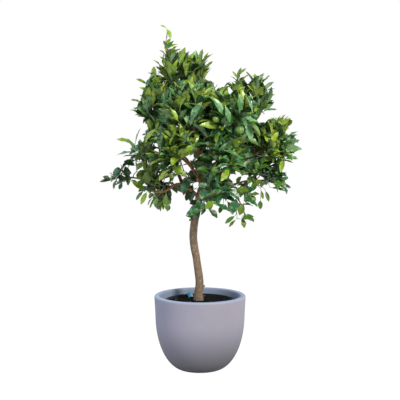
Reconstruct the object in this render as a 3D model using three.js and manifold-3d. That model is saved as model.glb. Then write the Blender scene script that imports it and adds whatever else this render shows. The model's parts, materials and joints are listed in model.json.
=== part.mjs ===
// A potted orange tree: a rounded pot of soil, a bare trunk with a gentle S-curve, boughs that
// spread from its fork, and a loose crown of pointed leaves with a few unripe fruits.
// Millimetres, +Z up, +Y away from the viewer. The origin is the centre of the pot's underside.

import * as THREE from "three";
import { mergeVertices } from "three/addons/utils/BufferGeometryUtils.js";
import Module from "manifold-3d";

const wasm = await Module();
wasm.setup();

// Driving dimensions

const CLEARANCE = 0.3; // gap between two pieces that meet
const UP = new THREE.Vector3(0, 0, 1);
const FULL_TURN = 2 * Math.PI;
const GOLDEN_ANGLE = Math.PI * (3 - Math.sqrt(5)); // turn from one twig to the next

const POT = {
  height: 330,
  rimRadius: 200,
  bellyRadius: 196,
  footRadius: 70,
  curveHeight: 240, // where the rounded base meets the nearly upright wall
  wall: 24,
  lipRadius: 9,
  floor: 26,
  cavityFootRadius: 50,
  sides: 30,
  arcSteps: 4,
};

const SOIL = { level: 306, edgeDrop: 5, flatRadius: 120 };

const TRUNK = {
  route: [
    [-6, 0, SOIL.level + CLEARANCE],
    [-6, 0, 336],
    [-2, 3, 383],
    [-15, 8, 486],
    [-29, 10, 578],
    [-23, 6, 658],
    [-8, 2, 738],
    [8, -2, 824],
  ],
  flareRadius: 23.5,
  flareHeight: 0.09, // share of the trunk's length over which the root flare fades
  radius: 17.5,
  forkSwell: 1.6, // extra radius where the first boughs part
  forkAt: 0.8,
  forkSpan: 0.1, // share of the length over which that swelling fades
  tipRadius: 10.5,
  sides: 10,
  steps: 14,
};

// Each bough leaves its parent at a share of the parent's length, bends at its elbow and ends
// where it enters the mass of leaves of the same name.
const BOUGHS = {
  leader: { parent: "trunk", at: 1, elbow: [-2, 14, 1028], tip: [-138, 8, 1363], radii: [10, 4] },
  right: { parent: "trunk", at: 0.9, elbow: [70, -34, 854], tip: [226, -20, 948], radii: [9, 5.5] },
  left: { parent: "trunk", at: 0.97, elbow: [-30, -34, 923], tip: [-140, -40, 964], radii: [7.5, 5] },
  left_low: { parent: "trunk", at: 0.87, elbow: [-80, -50, 850], tip: [-122, -68, 808], radii: [8, 5.5] },
  upper_left: { parent: "trunk", at: 0.79, elbow: [-88, 44, 790], tip: [-158, 4, 1066], radii: [8.5, 5] },
  right_low: { parent: "trunk", at: 0.84, elbow: [74, 0, 790], tip: [172, -12, 824], radii: [7.5, 5] },
  front_low: { parent: "trunk", at: 0.76, elbow: [-8, -80, 760], tip: [4, -134, 782], radii: [7, 5] },
  back_low: { parent: "trunk", at: 0.82, elbow: [4, 70, 783], tip: [16, 136, 810], radii: [7.5, 5] },
  back_right: { parent: "trunk", at: 0.93, elbow: [52, 90, 880], tip: [152, 158, 944], radii: [7.5, 5] },
  back_mid: { parent: "trunk", at: 0.98, elbow: [12, 90, 872], tip: [12, 190, 938], radii: [6.5, 4.5] },
  peak: { parent: "leader", at: 0.5, elbow: [-72, -12, 1128], tip: [-100, -6, 1206], radii: [6.5, 4.5] },
  upper_mid: { parent: "leader", at: 0.35, elbow: [4, 44, 1068], tip: [2, 38, 1182], radii: [7, 5] },
  front_upper: { parent: "leader", at: 0.25, elbow: [-14, -70, 976], tip: [-34, -130, 1048], radii: [7, 5] },
  front_right: { parent: "leader", at: 0.1, elbow: [44, -80, 918], tip: [84, -126, 1028], radii: [7, 5] },
  back_upper: { parent: "leader", at: 0.18, elbow: [10, 84, 958], tip: [20, 142, 1062], radii: [7, 5] },
  upper_right: { parent: "right", at: 0.5, elbow: [150, 14, 918], tip: [200, 14, 1080], radii: [6.5, 5] },
  mid_right: { parent: "right", at: 0.3, elbow: [62, -100, 868], tip: [78, -164, 908], radii: [6.5, 4.5] },
  mid_left: { parent: "left", at: 0.4, elbow: [-52, -84, 933], tip: [-74, -154, 946], radii: [6, 4.5] },
  back_left: {
    parent: "upper_left",
    at: 0.35,
    elbow: [-112, 96, 898],
    tip: [-160, 154, 964],
    radii: [6.5, 4.5],
  },
  far_left: { parent: "upper_left", at: 0.2, elbow: [-180, 64, 818], tip: [-276, 30, 840], radii: [6, 4] },
  droop: { parent: "right_low", at: 0.6, elbow: [150, -58, 806], tip: [164, -84, 762], radii: [5, 4] },
};
const BOUGH = { sides: 6, steps: 4 };
const COLLAR = { swell: 0.4, fade: 14 }; // a bough is thicker where it leaves its parent

// Each mass of leaves fills an ellipsoid on the bough of the same name.
const MASSES = {
  leader: { centre: [-140, 8, 1422], radii: [44, 44, 80], twigs: 14, habit: "shoot" },
  peak: { centre: [-112, 5, 1258], radii: [132, 130, 140], twigs: 20, habit: "young" },
  upper_mid: { centre: [-4, 35, 1264], radii: [106, 130, 130], twigs: 18, habit: "young" },
  upper_left: { centre: [-192, -28, 1148], radii: [142, 145, 134], twigs: 11, habit: "young" },
  front_upper: { centre: [-45, -185, 1113], radii: [150, 150, 155], twigs: 12, habit: "grown" },
  front_right: { centre: [110, -178, 1103], radii: [150, 150, 152], twigs: 12, habit: "grown" },
  upper_right: { centre: [210, 14, 1168], radii: [120, 140, 152], twigs: 11, habit: "grown" },
  left: { centre: [-208, -38, 980], radii: [146, 146, 130], twigs: 11, habit: "young" },
  mid_left: { centre: [-95, -225, 958], radii: [135, 125, 125], twigs: 10, habit: "grown" },
  mid_right: { centre: [100, -232, 933], radii: [140, 128, 125], twigs: 10, habit: "grown" },
  right: { centre: [298, -20, 992], radii: [142, 156, 146], twigs: 12, habit: "grown" },
  far_left: { centre: [-332, 20, 852], radii: [106, 84, 76], twigs: 12, habit: "shaded" },
  left_low: { centre: [-162, -76, 814], radii: [136, 130, 120], twigs: 10, habit: "shaded" },
  front_low: { centre: [14, -205, 803], radii: [136, 138, 120], twigs: 10, habit: "shaded" },
  right_low: { centre: [256, -10, 848], radii: [146, 150, 126], twigs: 11, habit: "shaded" },
  droop: { centre: [176, -88, 722], radii: [96, 96, 96], twigs: 14, habit: "shaded" },
  back_upper: { centre: [23, 195, 1148], radii: [156, 146, 152], twigs: 12, habit: "grown" },
  back_left: { centre: [-206, 205, 998], radii: [146, 148, 140], twigs: 11, habit: "grown" },
  back_right: { centre: [215, 215, 998], radii: [150, 148, 144], twigs: 11, habit: "grown" },
  back_low: { centre: [23, 205, 824], radii: [156, 138, 118], twigs: 10, habit: "shaded" },
  back_mid: { centre: [12, 262, 985], radii: [120, 112, 112], twigs: 14, habit: "grown" },
};
const CROWN_CENTRE = new THREE.Vector3(0, 0, 1000);
const STEM_LEAN = 0.3; // a stem ends this share of its mass's radii further out than the centre
const INNER_TWIG = { every: 3, reach: 0.6 }; // some twigs end inside the mass, at a share of the reach
const CELL_GAP = 1; // each mass keeps this far from the plane it shares with its neighbour
const BEAD_STEP = 6;
const LIMB_GAP = 3; // leaves and twigs keep this far from every limb

// How the leaves of a mass are held: lift raises or droops a spray, spread opens its leaves.
const HABITS = {
  shoot: { lift: 1.2, spread: 0.4, leaves: 2 },
  young: { lift: 0.3, spread: 0.8, leaves: 5 },
  grown: { lift: 0.3, spread: 0.8, leaves: 5 },
  shaded: { lift: -0.25, spread: 0.8, leaves: 5 },
};

const STEM = { sides: 5, steps: 2, tipRadius: 4, beads: 12 };
const TWIG = { sides: 3, baseRadius: 2.6, tipRadius: 2.2, beads: 8, rootBeads: 3, sunkShare: 0.02 };
const FORKS = { clear: 14, last: 0.85, top: 0.9 }; // twigs leave the stem from a length to a share of it
const REACH = { furthest: 0.95, step: 0.05, trials: 18 }; // shares of the radii tried for a twig's end
const STEM_MARKS = 24; // places along a stem where its passing of a twig's end is looked for

const LEAF = { length: 96, width: 44, widestAt: 0.45, fold: 6, droop: 8 };
const LEAF_SIZES = [1.08, 0.94, 0.8, 0.66]; // tried in turn, so the leaf is as large as its room
const LEAF_MARGIN = 0.5; // share of a leaf's length that a twig's end stays inside its space
const LEAF_GAP = 8; // leaves of two twigs, or a leaf and another twig, keep this far apart
const BLADE_SHARES = [0.25, 0.375, 0.5, 0.625, 0.75, 0.875, 1];
const BLADE_ACROSS = [-1, -0.5, 0, 0.5, 1];

// A spray is the ring of leaves at a twig's end, opening from the twig's axis by the spread.
const SPRAY = { draws: 5, topLeaves: 3, topSpread: 0.5, spreadRange: 0.45, turns: 5, wobble: 0.3 };
const SPRAY_HUB = { rise: 2, neck: 9, notch: 7, notchDrop: 3 };

// A repeatable number is the fraction of a fast wave, with its own draws for each use.
const WAVE = { seed: 127.1, draw: 311.7, height: 43758.5453 };
const DRAWS = { turn: 300, spread: 600 };

// Unripe fruits, each hung in its mass in the given direction from the centre.
const FRUITS = [
  { mass: "front_right", toward: [0.33, -0.68, -0.3], radius: 20 },
  { mass: "front_right", toward: [-0.3, -0.72, -0.02], radius: 15 },
  { mass: "mid_right", toward: [-0.28, -0.62, -0.28], radius: 16 },
  { mass: "back_upper", toward: [0.3, 0.6, -0.3], radius: 18 },
  { mass: "back_right", toward: [0.5, 0.4, -0.4], radius: 19 },
];
const FRUIT = { stalkRadius: 2, meridians: 8, parallels: 4 };

const MATERIALS = {
  pot: new THREE.MeshStandardMaterial({ color: 0xa6a2b2, roughness: 0.6, metalness: 0 }),
  soil: new THREE.MeshStandardMaterial({ color: 0x2a211b, roughness: 1, metalness: 0 }),
  bark: new THREE.MeshStandardMaterial({ color: 0x876f56, roughness: 0.9, metalness: 0 }),
  boughBark: new THREE.MeshStandardMaterial({ color: 0x6f4a2c, roughness: 0.85, metalness: 0 }),
  shoot: new THREE.MeshStandardMaterial({ color: 0x86a63a, roughness: 0.4, metalness: 0 }),
  young: new THREE.MeshStandardMaterial({ color: 0x6f9430, roughness: 0.4, metalness: 0 }),
  grown: new THREE.MeshStandardMaterial({ color: 0x4a6f35, roughness: 0.35, metalness: 0 }),
  shaded: new THREE.MeshStandardMaterial({ color: 0x35592f, roughness: 0.35, metalness: 0 }),
};

// Small tools

const vector = (xyz) => new THREE.Vector3(...xyz);

// A repeatable number from 0 to 1 for one draw of one mass.
function chance(seed, draw) {
  const wave = Math.sin(seed * WAVE.seed + draw * WAVE.draw) * WAVE.height;
  return wave - Math.floor(wave);
}

// A closed geometry as a solid that can be joined and cut. Faces that merging flattens are dropped.
function solidOf(geometry) {
  const bare = new THREE.BufferGeometry();
  bare.setAttribute("position", geometry.attributes.position);
  bare.setIndex(geometry.index);
  const merged = mergeVertices(bare);
  const corners = merged.index.array;
  const triVerts = [];
  for (let i = 0; i < corners.length; i += 3) {
    const face = corners.slice(i, i + 3);
    if (new Set(face).size === 3) triVerts.push(...face);
  }
  const vertProperties = merged.attributes.position.array;
  return new wasm.Manifold(
    new wasm.Mesh({ numProp: 3, vertProperties, triVerts: new Uint32Array(triVerts) }),
  );
}

// The largest outer shell of a solid, without loose scraps and sealed hollows.
function mainBody(solid) {
  return solid.decompose().reduce((best, body) => (body.volume() > best.volume() ? body : best));
}

function geometryOf(solid) {
  const { vertProperties, triVerts } = solid.getMesh();
  const geometry = new THREE.BufferGeometry();
  geometry.setAttribute("position", new THREE.BufferAttribute(vertProperties, 3));
  geometry.setIndex(new THREE.BufferAttribute(triVerts, 1));
  geometry.computeVertexNormals();
  return geometry;
}

// A closed round limb along a curve: a cylinder whose rings are moved onto the curve.
// With swell, the limb is that much larger all round.
function limbGeometry({ curve, radiusAt, sides, steps }, swell = 0) {
  const geometry = new THREE.CylinderGeometry(1, 1, 1, sides, steps);
  const frames = curve.computeFrenetFrames(steps);
  const position = geometry.attributes.position;
  const point = new THREE.Vector3();
  for (let i = 0; i < position.count; i++) {
    const step = Math.round((position.getY(i) + 0.5) * steps);
    const radius = radiusAt(step / steps) + swell;
    const endPush = step === 0 ? -swell : step === steps ? swell : 0;
    curve.getPointAt(step / steps, point);
    point.addScaledVector(frames.tangents[step], endPush);
    point.addScaledVector(frames.binormals[step], position.getX(i) * radius);
    point.addScaledVector(frames.normals[step], position.getZ(i) * radius);
    position.setXYZ(i, point.x, point.y, point.z);
  }
  return geometry;
}

// Pot and soil

function lathe(profile) {
  const points = profile.filter((p, i) => i === 0 || p.distanceTo(profile[i - 1]) > CLEARANCE / 10);
  return new THREE.LatheGeometry(points, POT.sides).rotateX(Math.PI / 2);
}

// The inside of the pot from the middle of its floor to the given level, moved in by a gap.
function cavityProfile(level, gap) {
  const wallFoot = POT.bellyRadius - POT.wall;
  const wallTop = POT.rimRadius - POT.wall;
  const topHeight = POT.height - POT.lipRadius;
  const share = (level - POT.curveHeight) / (topHeight - POT.curveHeight);
  const path = new THREE.Path();
  path.moveTo(0, POT.floor + gap);
  path.lineTo(POT.cavityFootRadius, POT.floor + gap);
  path.absellipse(
    POT.cavityFootRadius,
    POT.curveHeight,
    wallFoot - gap - POT.cavityFootRadius,
    POT.curveHeight - POT.floor - gap,
    -Math.PI / 2,
    0,
    false,
  );
  path.lineTo(THREE.MathUtils.lerp(wallFoot, wallTop, share) - gap, level);
  return path.getPoints(POT.arcSteps);
}

function potGeometry() {
  const lipHeight = POT.height - POT.lipRadius;
  const outside = new THREE.Path();
  outside.moveTo(0, 0);
  outside.lineTo(POT.footRadius, 0);
  outside.absellipse(
    POT.footRadius,
    POT.curveHeight,
    POT.bellyRadius - POT.footRadius,
    POT.curveHeight,
    -Math.PI / 2,
    0,
    false,
  );
  outside.lineTo(POT.rimRadius, lipHeight);
  const rimInside = POT.rimRadius - POT.wall;
  outside.quadraticCurveTo(POT.rimRadius, POT.height, POT.rimRadius - POT.lipRadius, POT.height);
  outside.lineTo(rimInside + POT.lipRadius, POT.height);
  outside.quadraticCurveTo(rimInside, POT.height, rimInside, lipHeight);
  const inside = cavityProfile(lipHeight, 0).reverse();
  return lathe([...outside.getPoints(POT.arcSteps), ...inside]);
}

function soilGeometry() {
  const buried = cavityProfile(SOIL.level - SOIL.edgeDrop, CLEARANCE);
  return lathe([
    ...buried,
    new THREE.Vector2(SOIL.flatRadius, SOIL.level),
    new THREE.Vector2(0, SOIL.level),
  ]);
}

// Trunk and boughs

function trunkRadius(t) {
  const flare = (TRUNK.flareRadius - TRUNK.radius) * Math.exp(-t / TRUNK.flareHeight);
  const fork = TRUNK.forkSwell * Math.exp(-(((t - TRUNK.forkAt) / TRUNK.forkSpan) ** 2));
  const taper = (TRUNK.radius - TRUNK.tipRadius) * THREE.MathUtils.smoothstep(t, TRUNK.forkAt, 1);
  return TRUNK.radius + flare + fork - taper;
}

function makeTrunk() {
  return {
    curve: new THREE.CatmullRomCurve3(TRUNK.route.map(vector)),
    radiusAt: trunkRadius,
    sides: TRUNK.sides,
    steps: TRUNK.steps,
  };
}

function makeBough({ at, elbow, tip, radii }, parent) {
  const fork = parent.curve.getPointAt(at);
  if (at === 1) fork.addScaledVector(parent.curve.getTangentAt(1), CLEARANCE);
  const [base, end] = radii;
  return {
    curve: new THREE.QuadraticBezierCurve3(fork, vector(elbow), vector(tip)),
    radiusAt: (t) => THREE.MathUtils.lerp(base, end, t) * (1 + COLLAR.swell * Math.exp(-t * COLLAR.fade)),
    sides: BOUGH.sides,
    steps: BOUGH.steps,
  };
}

// All limbs by name. Each one is cut clear of those made before it.
function makeLimbs() {
  const trunk = makeTrunk();
  trunk.solid = solidOf(limbGeometry(trunk));
  const limbs = new Map([["trunk", trunk]]);
  const keepClear = [solidOf(limbGeometry(trunk, CLEARANCE))];
  for (const [name, spec] of Object.entries(BOUGHS)) {
    const bough = makeBough(spec, limbs.get(spec.parent));
    const whole = solidOf(limbGeometry(bough));
    bough.solid = mainBody(keepClear.reduce((rest, other) => rest.subtract(other), whole));
    keepClear.push(solidOf(limbGeometry(bough, CLEARANCE)));
    limbs.set(name, bough);
  }
  return limbs;
}

// Points along a limb or stem, with its radius there, for keeping leaves clear of it.
function beadsOf({ curve, radiusAt }, owner) {
  const count = Math.ceil(curve.getLength() / BEAD_STEP);
  const shares = Array.from({ length: count + 1 }, (_, i) => i / count);
  return shares.map((t) => ({ owner, point: curve.getPointAt(t), radius: radiusAt(t) }));
}

// Masses of leaves

// How far a point is inside the plane that parts two masses, by their centres and mean radii.
function sideOf(point, own, other) {
  const ownPower = point.distanceToSquared(own.centre) - own.meanRadius ** 2;
  const otherPower = point.distanceToSquared(other.centre) - other.meanRadius ** 2;
  return (otherPower - ownPower) / (2 * own.centre.distanceTo(other.centre));
}

// How far a point is inside its mass's ellipsoid and clear of its neighbours' spaces.
function depthInSpace(point, mass) {
  const share = point.clone().sub(mass.centre).divide(mass.radii).length();
  const toNeighbours = mass.neighbours.map((other) => sideOf(point, mass, other));
  return Math.min((1 - share) * mass.meanRadius, ...toNeighbours);
}

const inOwnSpace = (point, mass) => depthInSpace(point, mass) > CELL_GAP;

const clearOfLimbs = (point, mass, radius) =>
  mass.beads.every((bead) => bead.point.distanceTo(point) > bead.radius + radius + LIMB_GAP);

// The stem carries on from its bough's tip, a clearance away, and bends to its end in the mass.
function makeStem(mass, limb) {
  const heading = limb.curve.getTangentAt(1);
  const start = limb.curve.getPointAt(1).addScaledVector(heading, CLEARANCE);
  const outward = mass.centre.clone().sub(CROWN_CENTRE).normalize();
  const end = outward.multiplyScalar(STEM_LEAN).multiply(mass.radii).add(mass.centre);
  const bend = start.clone().addScaledVector(heading, start.distanceTo(end) / 2);
  return {
    curve: new THREE.QuadraticBezierCurve3(start, bend, end),
    radiusAt: (t) => THREE.MathUtils.lerp(limb.radiusAt(1), STEM.tipRadius, t),
    sides: STEM.sides,
    steps: STEM.steps,
  };
}

// The furthest point from the mass's centre in one direction that leaves room for a leaf.
function reachToward(direction, mass) {
  const margin = LEAF_MARGIN * LEAF.length * mass.leafSize;
  const shares = Array.from({ length: REACH.trials }, (_, i) => REACH.furthest - i * REACH.step);
  const at = (share) => direction.clone().multiplyScalar(share).multiply(mass.radii).add(mass.centre);
  return at(shares.find((share) => depthInSpace(at(share), mass) > margin) ?? shares.at(-1));
}

// The end of one of the twigs, which are spread evenly round the mass by the golden angle.
function twigEnd(index, mass) {
  const height = 1 - (2 * index + 1) / mass.twigs;
  const ring = Math.sqrt(1 - height * height);
  const turn = index * GOLDEN_ANGLE + mass.seed;
  const direction = new THREE.Vector3(ring * Math.cos(turn), ring * Math.sin(turn), height);
  const end = reachToward(direction, mass);
  const inner = (index + 1) % INNER_TWIG.every === 0;
  return inner ? end.lerp(mass.centre, 1 - INNER_TWIG.reach) : end;
}

// The twigs fork from the stem in the order in which it passes their ends. The last one carries
// the stem on.
function makeTwigs(mass) {
  const { curve } = mass.stem;
  const { spread, leaves } = HABITS[mass.habit];
  const marks = Array.from({ length: STEM_MARKS + 1 }, (_, i) => i / STEM_MARKS);
  const twigs = Array.from({ length: mass.twigs }, (_, index) => {
    const hub = twigEnd(index, mass);
    const apart = (t) => curve.getPointAt(t).distanceTo(hub);
    const passed = marks.reduce((best, t) => (apart(t) < apart(best) ? t : best));
    return { index, hub, passed, spread, count: leaves };
  });
  twigs.sort((a, b) => a.passed - b.passed);
  const first = FORKS.clear / curve.getLength();
  twigs.forEach((twig, order) => {
    twig.fork = curve.getPointAt(THREE.MathUtils.lerp(first, FORKS.last, order / mass.twigs));
  });
  twigs.push({
    index: mass.twigs,
    hub: curve.getPointAt(1).addScaledVector(curve.getTangentAt(1), 2 * SPRAY_HUB.neck),
    fork: curve.getPointAt(FORKS.top),
    spread: spread * SPRAY.topSpread,
    count: Math.min(leaves, SPRAY.topLeaves),
  });
  return twigs.reverse();
}

// The spray's own axes: along its middle, which lifts or droops with the habit, and to one side.
function addSprayAxes(twig, mass) {
  const { lift } = HABITS[mass.habit];
  twig.axis = twig.hub.clone().sub(twig.fork).normalize().addScaledVector(UP, lift).normalize();
  twig.side = new THREE.Vector3(1, 0, 0).cross(twig.axis).normalize();
  const neck = twig.hub.clone().addScaledVector(twig.axis, -SPRAY_HUB.neck);
  twig.points = new THREE.LineCurve3(twig.fork, neck).getPoints(TWIG.beads);
}

const turned = (twig, turn) => twig.side.clone().applyAxisAngle(twig.axis, turn);

// A leaf's own frame at the end of its twig: x across, y along, z out of its upper side.
function leafMatrix(twig, turn, spread) {
  const along = turned(twig, turn).multiplyScalar(Math.sin(spread));
  along.addScaledVector(twig.axis, Math.cos(spread));
  const across = new THREE.Vector3().crossVectors(along, twig.axis).normalize();
  const upper = new THREE.Vector3().crossVectors(across, along);
  return new THREE.Matrix4().makeBasis(across, along, upper).setPosition(twig.hub);
}

// A point on a leaf, by its share of the length and its place from edge to edge, -1 to 1.
function leafPoint(leaf, share, across) {
  const { widestAt } = LEAF;
  const half = share < widestAt ? share / widestAt : (1 - share) / (1 - widestAt);
  const sag = LEAF.droop * Math.max(0, (share - widestAt) / (1 - widestAt));
  const x = across * half * (LEAF.width / 2) * leaf.size;
  const z = Math.abs(across) * half * LEAF.fold - sag;
  return new THREE.Vector3(x, share * LEAF.length * leaf.size, z).applyMatrix4(leaf.matrix);
}

// Points over a leaf past its root, close enough together to show what it meets.
const leafBlade = (leaf) =>
  BLADE_SHARES.flatMap((share) => BLADE_ACROSS.map((across) => leafPoint(leaf, share, across)));

// A leaf has room if it stays in its mass's space, clear of limbs, other twigs and their leaves.
function leafHasRoom(blade, mass, grown) {
  const near = (points) => points.some((p) => blade.some((q) => p.distanceTo(q) < LEAF_GAP));
  if (!blade.every((p) => inOwnSpace(p, mass) && clearOfLimbs(p, mass, 0))) return false;
  return !grown.twigs.some((other) => near(other.points)) && !grown.blades.some(near);
}

// The leaves of one spray that have room, in the turn that keeps the most of them.
function sprayLeaves(mass, twig, grown) {
  let best = [];
  for (let attempt = 0; attempt < SPRAY.turns; attempt++) {
    const leaves = [];
    for (let j = 0; j < twig.count; j++) {
      const draw = (twig.index + 1) * SPRAY.draws + j;
      const wobble = SPRAY.wobble * (chance(mass.seed, draw + DRAWS.turn) - 0.5);
      const turn = ((j + attempt / SPRAY.turns) / twig.count) * FULL_TURN + wobble;
      const spread = twig.spread + SPRAY.spreadRange * chance(mass.seed, draw + DRAWS.spread);
      const matrix = leafMatrix(twig, turn, spread);
      const trials = LEAF_SIZES.map((size) => ({ turn, matrix, size: size * mass.leafSize }));
      const leaf = trials.find((trial) => leafHasRoom(leafBlade(trial), mass, grown));
      if (leaf) leaves.push(leaf);
    }
    if (leaves.length > best.length) best = leaves;
  }
  return best;
}

// The outline of a spray: for each leaf the notch before it, one edge, the tip and the other edge.
function sprayOutline(twig, leaves) {
  return leaves.flatMap((leaf, j) => {
    const before = leaves.at(j - 1).turn - (j === 0 ? FULL_TURN : 0);
    const notch = turned(twig, (before + leaf.turn) / 2).multiplyScalar(SPRAY_HUB.notch).add(twig.hub);
    notch.addScaledVector(twig.axis, -SPRAY_HUB.notchDrop);
    const edges = [1, -1].map((across) => leafPoint(leaf, LEAF.widestAt, across));
    return [notch, edges[0], leafPoint(leaf, 1, 0), edges[1]];
  });
}

// A twig with its spray as one closed shell of five rings: a point above the leaves, their
// outline, the neck under them, the twig's foot, and a point inside the stem.
function sprayGeometry(twig, leaves) {
  const outline = sprayOutline(twig, leaves);
  const around = (centre, radius) =>
    outline.map((_, i) => {
      const corner = Math.floor((i * TWIG.sides) / outline.length);
      const turn = leaves[0].turn + (corner / TWIG.sides) * FULL_TURN;
      return turned(twig, turn).multiplyScalar(radius).add(centre);
    });
  const top = twig.hub.clone().addScaledVector(twig.axis, SPRAY_HUB.rise);
  const inside = twig.fork.clone().lerp(twig.hub, -TWIG.sunkShare);
  const rings = [
    outline.map(() => top),
    outline,
    around(twig.points.at(-1), TWIG.tipRadius),
    around(twig.fork, TWIG.baseRadius),
    outline.map(() => inside),
  ];
  const geometry = new THREE.SphereGeometry(1, outline.length, rings.length - 1);
  const { position, uv } = geometry.attributes;
  for (let i = 0; i < position.count; i++) {
    const ring = Math.round((1 - uv.getY(i)) * (rings.length - 1));
    const place = Math.round(uv.getX(i) * outline.length) % outline.length;
    position.setXYZ(i, ...rings[ring].at(place).toArray());
  }
  return geometry;
}

// A twig fits if it stays in its mass's space, clear of limbs and, past its root, of other twigs.
function twigFits(mass, twig, grown) {
  return twig.points.slice(1).every((p, i) => {
    if (!inOwnSpace(p, mass) || !clearOfLimbs(p, mass, TWIG.baseRadius)) return false;
    const near = (other) => other.points.some((q) => q.distanceTo(p) < LEAF_GAP);
    return i < TWIG.rootBeads || !grown.twigs.some(near);
  });
}

// A fruit on a short stalk from the nearest point of the mass's twigs.
function fruitSolids({ toward, radius }, mass, twigs) {
  const centre = vector(toward).multiply(mass.radii).add(mass.centre);
  const apart = (p) => p.distanceTo(centre);
  const points = twigs.flatMap((twig) => twig.points);
  const start = points.reduce((best, p) => (apart(p) < apart(best) ? p : best));
  const stalk = {
    curve: new THREE.LineCurve3(start, centre),
    radiusAt: () => FRUIT.stalkRadius,
    sides: TWIG.sides,
    steps: 1,
  };
  const ball = new THREE.SphereGeometry(radius, FRUIT.meridians, FRUIT.parallels);
  ball.rotateX(Math.PI / 2).translate(centre.x, centre.y, centre.z);
  return [solidOf(limbGeometry(stalk)), solidOf(ball)];
}

// One mass: its stem, the twigs and leaves that fit, and its fruits, fused together.
function massSolid(mass) {
  const grown = { blades: [], twigs: [{ points: mass.stem.curve.getPoints(STEM.beads) }] };
  const solids = [solidOf(limbGeometry(mass.stem))];
  for (const twig of makeTwigs(mass)) {
    addSprayAxes(twig, mass);
    if (!twigFits(mass, twig, grown)) continue;
    const leaves = sprayLeaves(mass, twig, grown);
    if (leaves.length === 0) continue;
    grown.twigs.push(twig);
    grown.blades.push(...leaves.map(leafBlade));
    solids.push(solidOf(sprayGeometry(twig, leaves)));
  }
  for (const fruit of FRUITS.filter((f) => f.mass === mass.name)) {
    solids.push(...fruitSolids(fruit, mass, grown.twigs));
  }
  return mainBody(wasm.Manifold.union(solids));
}

function makeMass([name, spec], order, limbs) {
  const radii = vector(spec.radii);
  const meanRadius = (radii.x + radii.y + radii.z) / 3;
  const leafSize = Math.min(1, meanRadius / LEAF.length);
  const mass = { ...spec, name, radii, meanRadius, leafSize, centre: vector(spec.centre), seed: order + 1 };
  mass.stem = makeStem(mass, limbs.get(name));
  return mass;
}

// All masses, each with the neighbours that bound its space and the limbs that pass near it.
function makeMasses(limbs) {
  const masses = Object.entries(MASSES).map((entry, order) => makeMass(entry, order, limbs));
  const beads = [...limbs.values()].flatMap((limb) => beadsOf(limb));
  beads.push(...masses.flatMap((mass) => beadsOf(mass.stem, mass.name)));
  for (const mass of masses) {
    const reach = Math.max(...mass.radii.toArray());
    const bounds = (other) => other !== mass && sideOf(mass.centre, mass, other) < reach;
    mass.neighbours = masses.filter(bounds);
    const passes = (bead) => bead.point.distanceTo(mass.centre) < reach + bead.radius + LIMB_GAP;
    mass.beads = beads.filter((bead) => bead.owner !== mass.name && passes(bead));
  }
  return masses;
}

// The whole plant

function addPiece(group, name, geometry, material) {
  const mesh = new THREE.Mesh(geometry, material);
  mesh.name = name;
  group.add(mesh);
}

function buildTree() {
  const tree = new THREE.Group();
  addPiece(tree, "pot", potGeometry(), MATERIALS.pot);
  addPiece(tree, "soil", soilGeometry(), MATERIALS.soil);
  const limbs = makeLimbs();
  for (const [name, limb] of limbs) {
    const isTrunk = name === "trunk";
    const material = isTrunk ? MATERIALS.bark : MATERIALS.boughBark;
    addPiece(tree, isTrunk ? name : `bough_${name}`, geometryOf(limb.solid), material);
  }
  for (const mass of makeMasses(limbs)) {
    addPiece(tree, `foliage_${mass.name}`, geometryOf(massSolid(mass)), MATERIALS[mass.habit]);
  }
  return tree;
}

export default buildTree();
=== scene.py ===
"""Looks of a potted orange tree.

A lavender grey pot holds a dark liner of soil. A bare trunk with a gentle S-curve forks into
boughs, and each bough carries on into a stem, twigs, finer twigs and sprays of pointed leaves.

The tables are in millimetres and the meshes in metres. +Z is up and +Y is away from the viewer.
The origin is the centre of the pot's underside.
"""

from __future__ import annotations

import json
import logging
import math
from dataclasses import dataclass, field
from enum import Enum
from itertools import pairwise

import bpy
import numpy as np
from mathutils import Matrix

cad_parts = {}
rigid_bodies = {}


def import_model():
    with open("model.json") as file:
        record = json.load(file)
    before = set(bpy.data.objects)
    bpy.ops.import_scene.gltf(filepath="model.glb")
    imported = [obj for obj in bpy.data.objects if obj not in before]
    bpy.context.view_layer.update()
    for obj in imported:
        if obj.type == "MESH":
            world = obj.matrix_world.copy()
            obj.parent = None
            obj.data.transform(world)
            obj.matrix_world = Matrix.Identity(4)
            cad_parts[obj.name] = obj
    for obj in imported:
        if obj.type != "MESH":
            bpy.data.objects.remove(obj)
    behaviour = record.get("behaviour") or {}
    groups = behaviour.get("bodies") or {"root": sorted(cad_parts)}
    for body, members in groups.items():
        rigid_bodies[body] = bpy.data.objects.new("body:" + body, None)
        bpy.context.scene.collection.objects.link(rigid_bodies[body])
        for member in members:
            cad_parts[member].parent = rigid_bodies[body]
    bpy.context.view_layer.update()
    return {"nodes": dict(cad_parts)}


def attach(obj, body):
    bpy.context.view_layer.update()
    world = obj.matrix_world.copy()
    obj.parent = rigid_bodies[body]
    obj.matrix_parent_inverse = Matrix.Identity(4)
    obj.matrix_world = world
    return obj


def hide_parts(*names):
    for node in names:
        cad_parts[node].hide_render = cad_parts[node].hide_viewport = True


LOG = logging.getLogger("orange_tree")

MM = 0.001
BODY = "root"
UP = np.array([0.0, 0.0, 1.0])
FRONT = np.array([0.0, -1.0, 0.0])
GOLDEN_ANGLE = math.pi * (3 - math.sqrt(5))
COAT_ROUGHNESS = 0.25

WHITE = (1.0, 1.0, 1.0, 1.0)

Array = np.ndarray
Piece = bpy.types.Object
Socket = bpy.types.NodeSocket
Rgb = tuple[int, int, int]
Pair = tuple[float, float]
Xyz = tuple[float, float, float]
Ball = tuple[Array, float]


# Vectors and colours


def unit(vector: Array) -> Array:
    """The vector, or each row of vectors, at length one."""
    return vector / np.linalg.norm(vector, axis=-1, keepdims=True)


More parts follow.
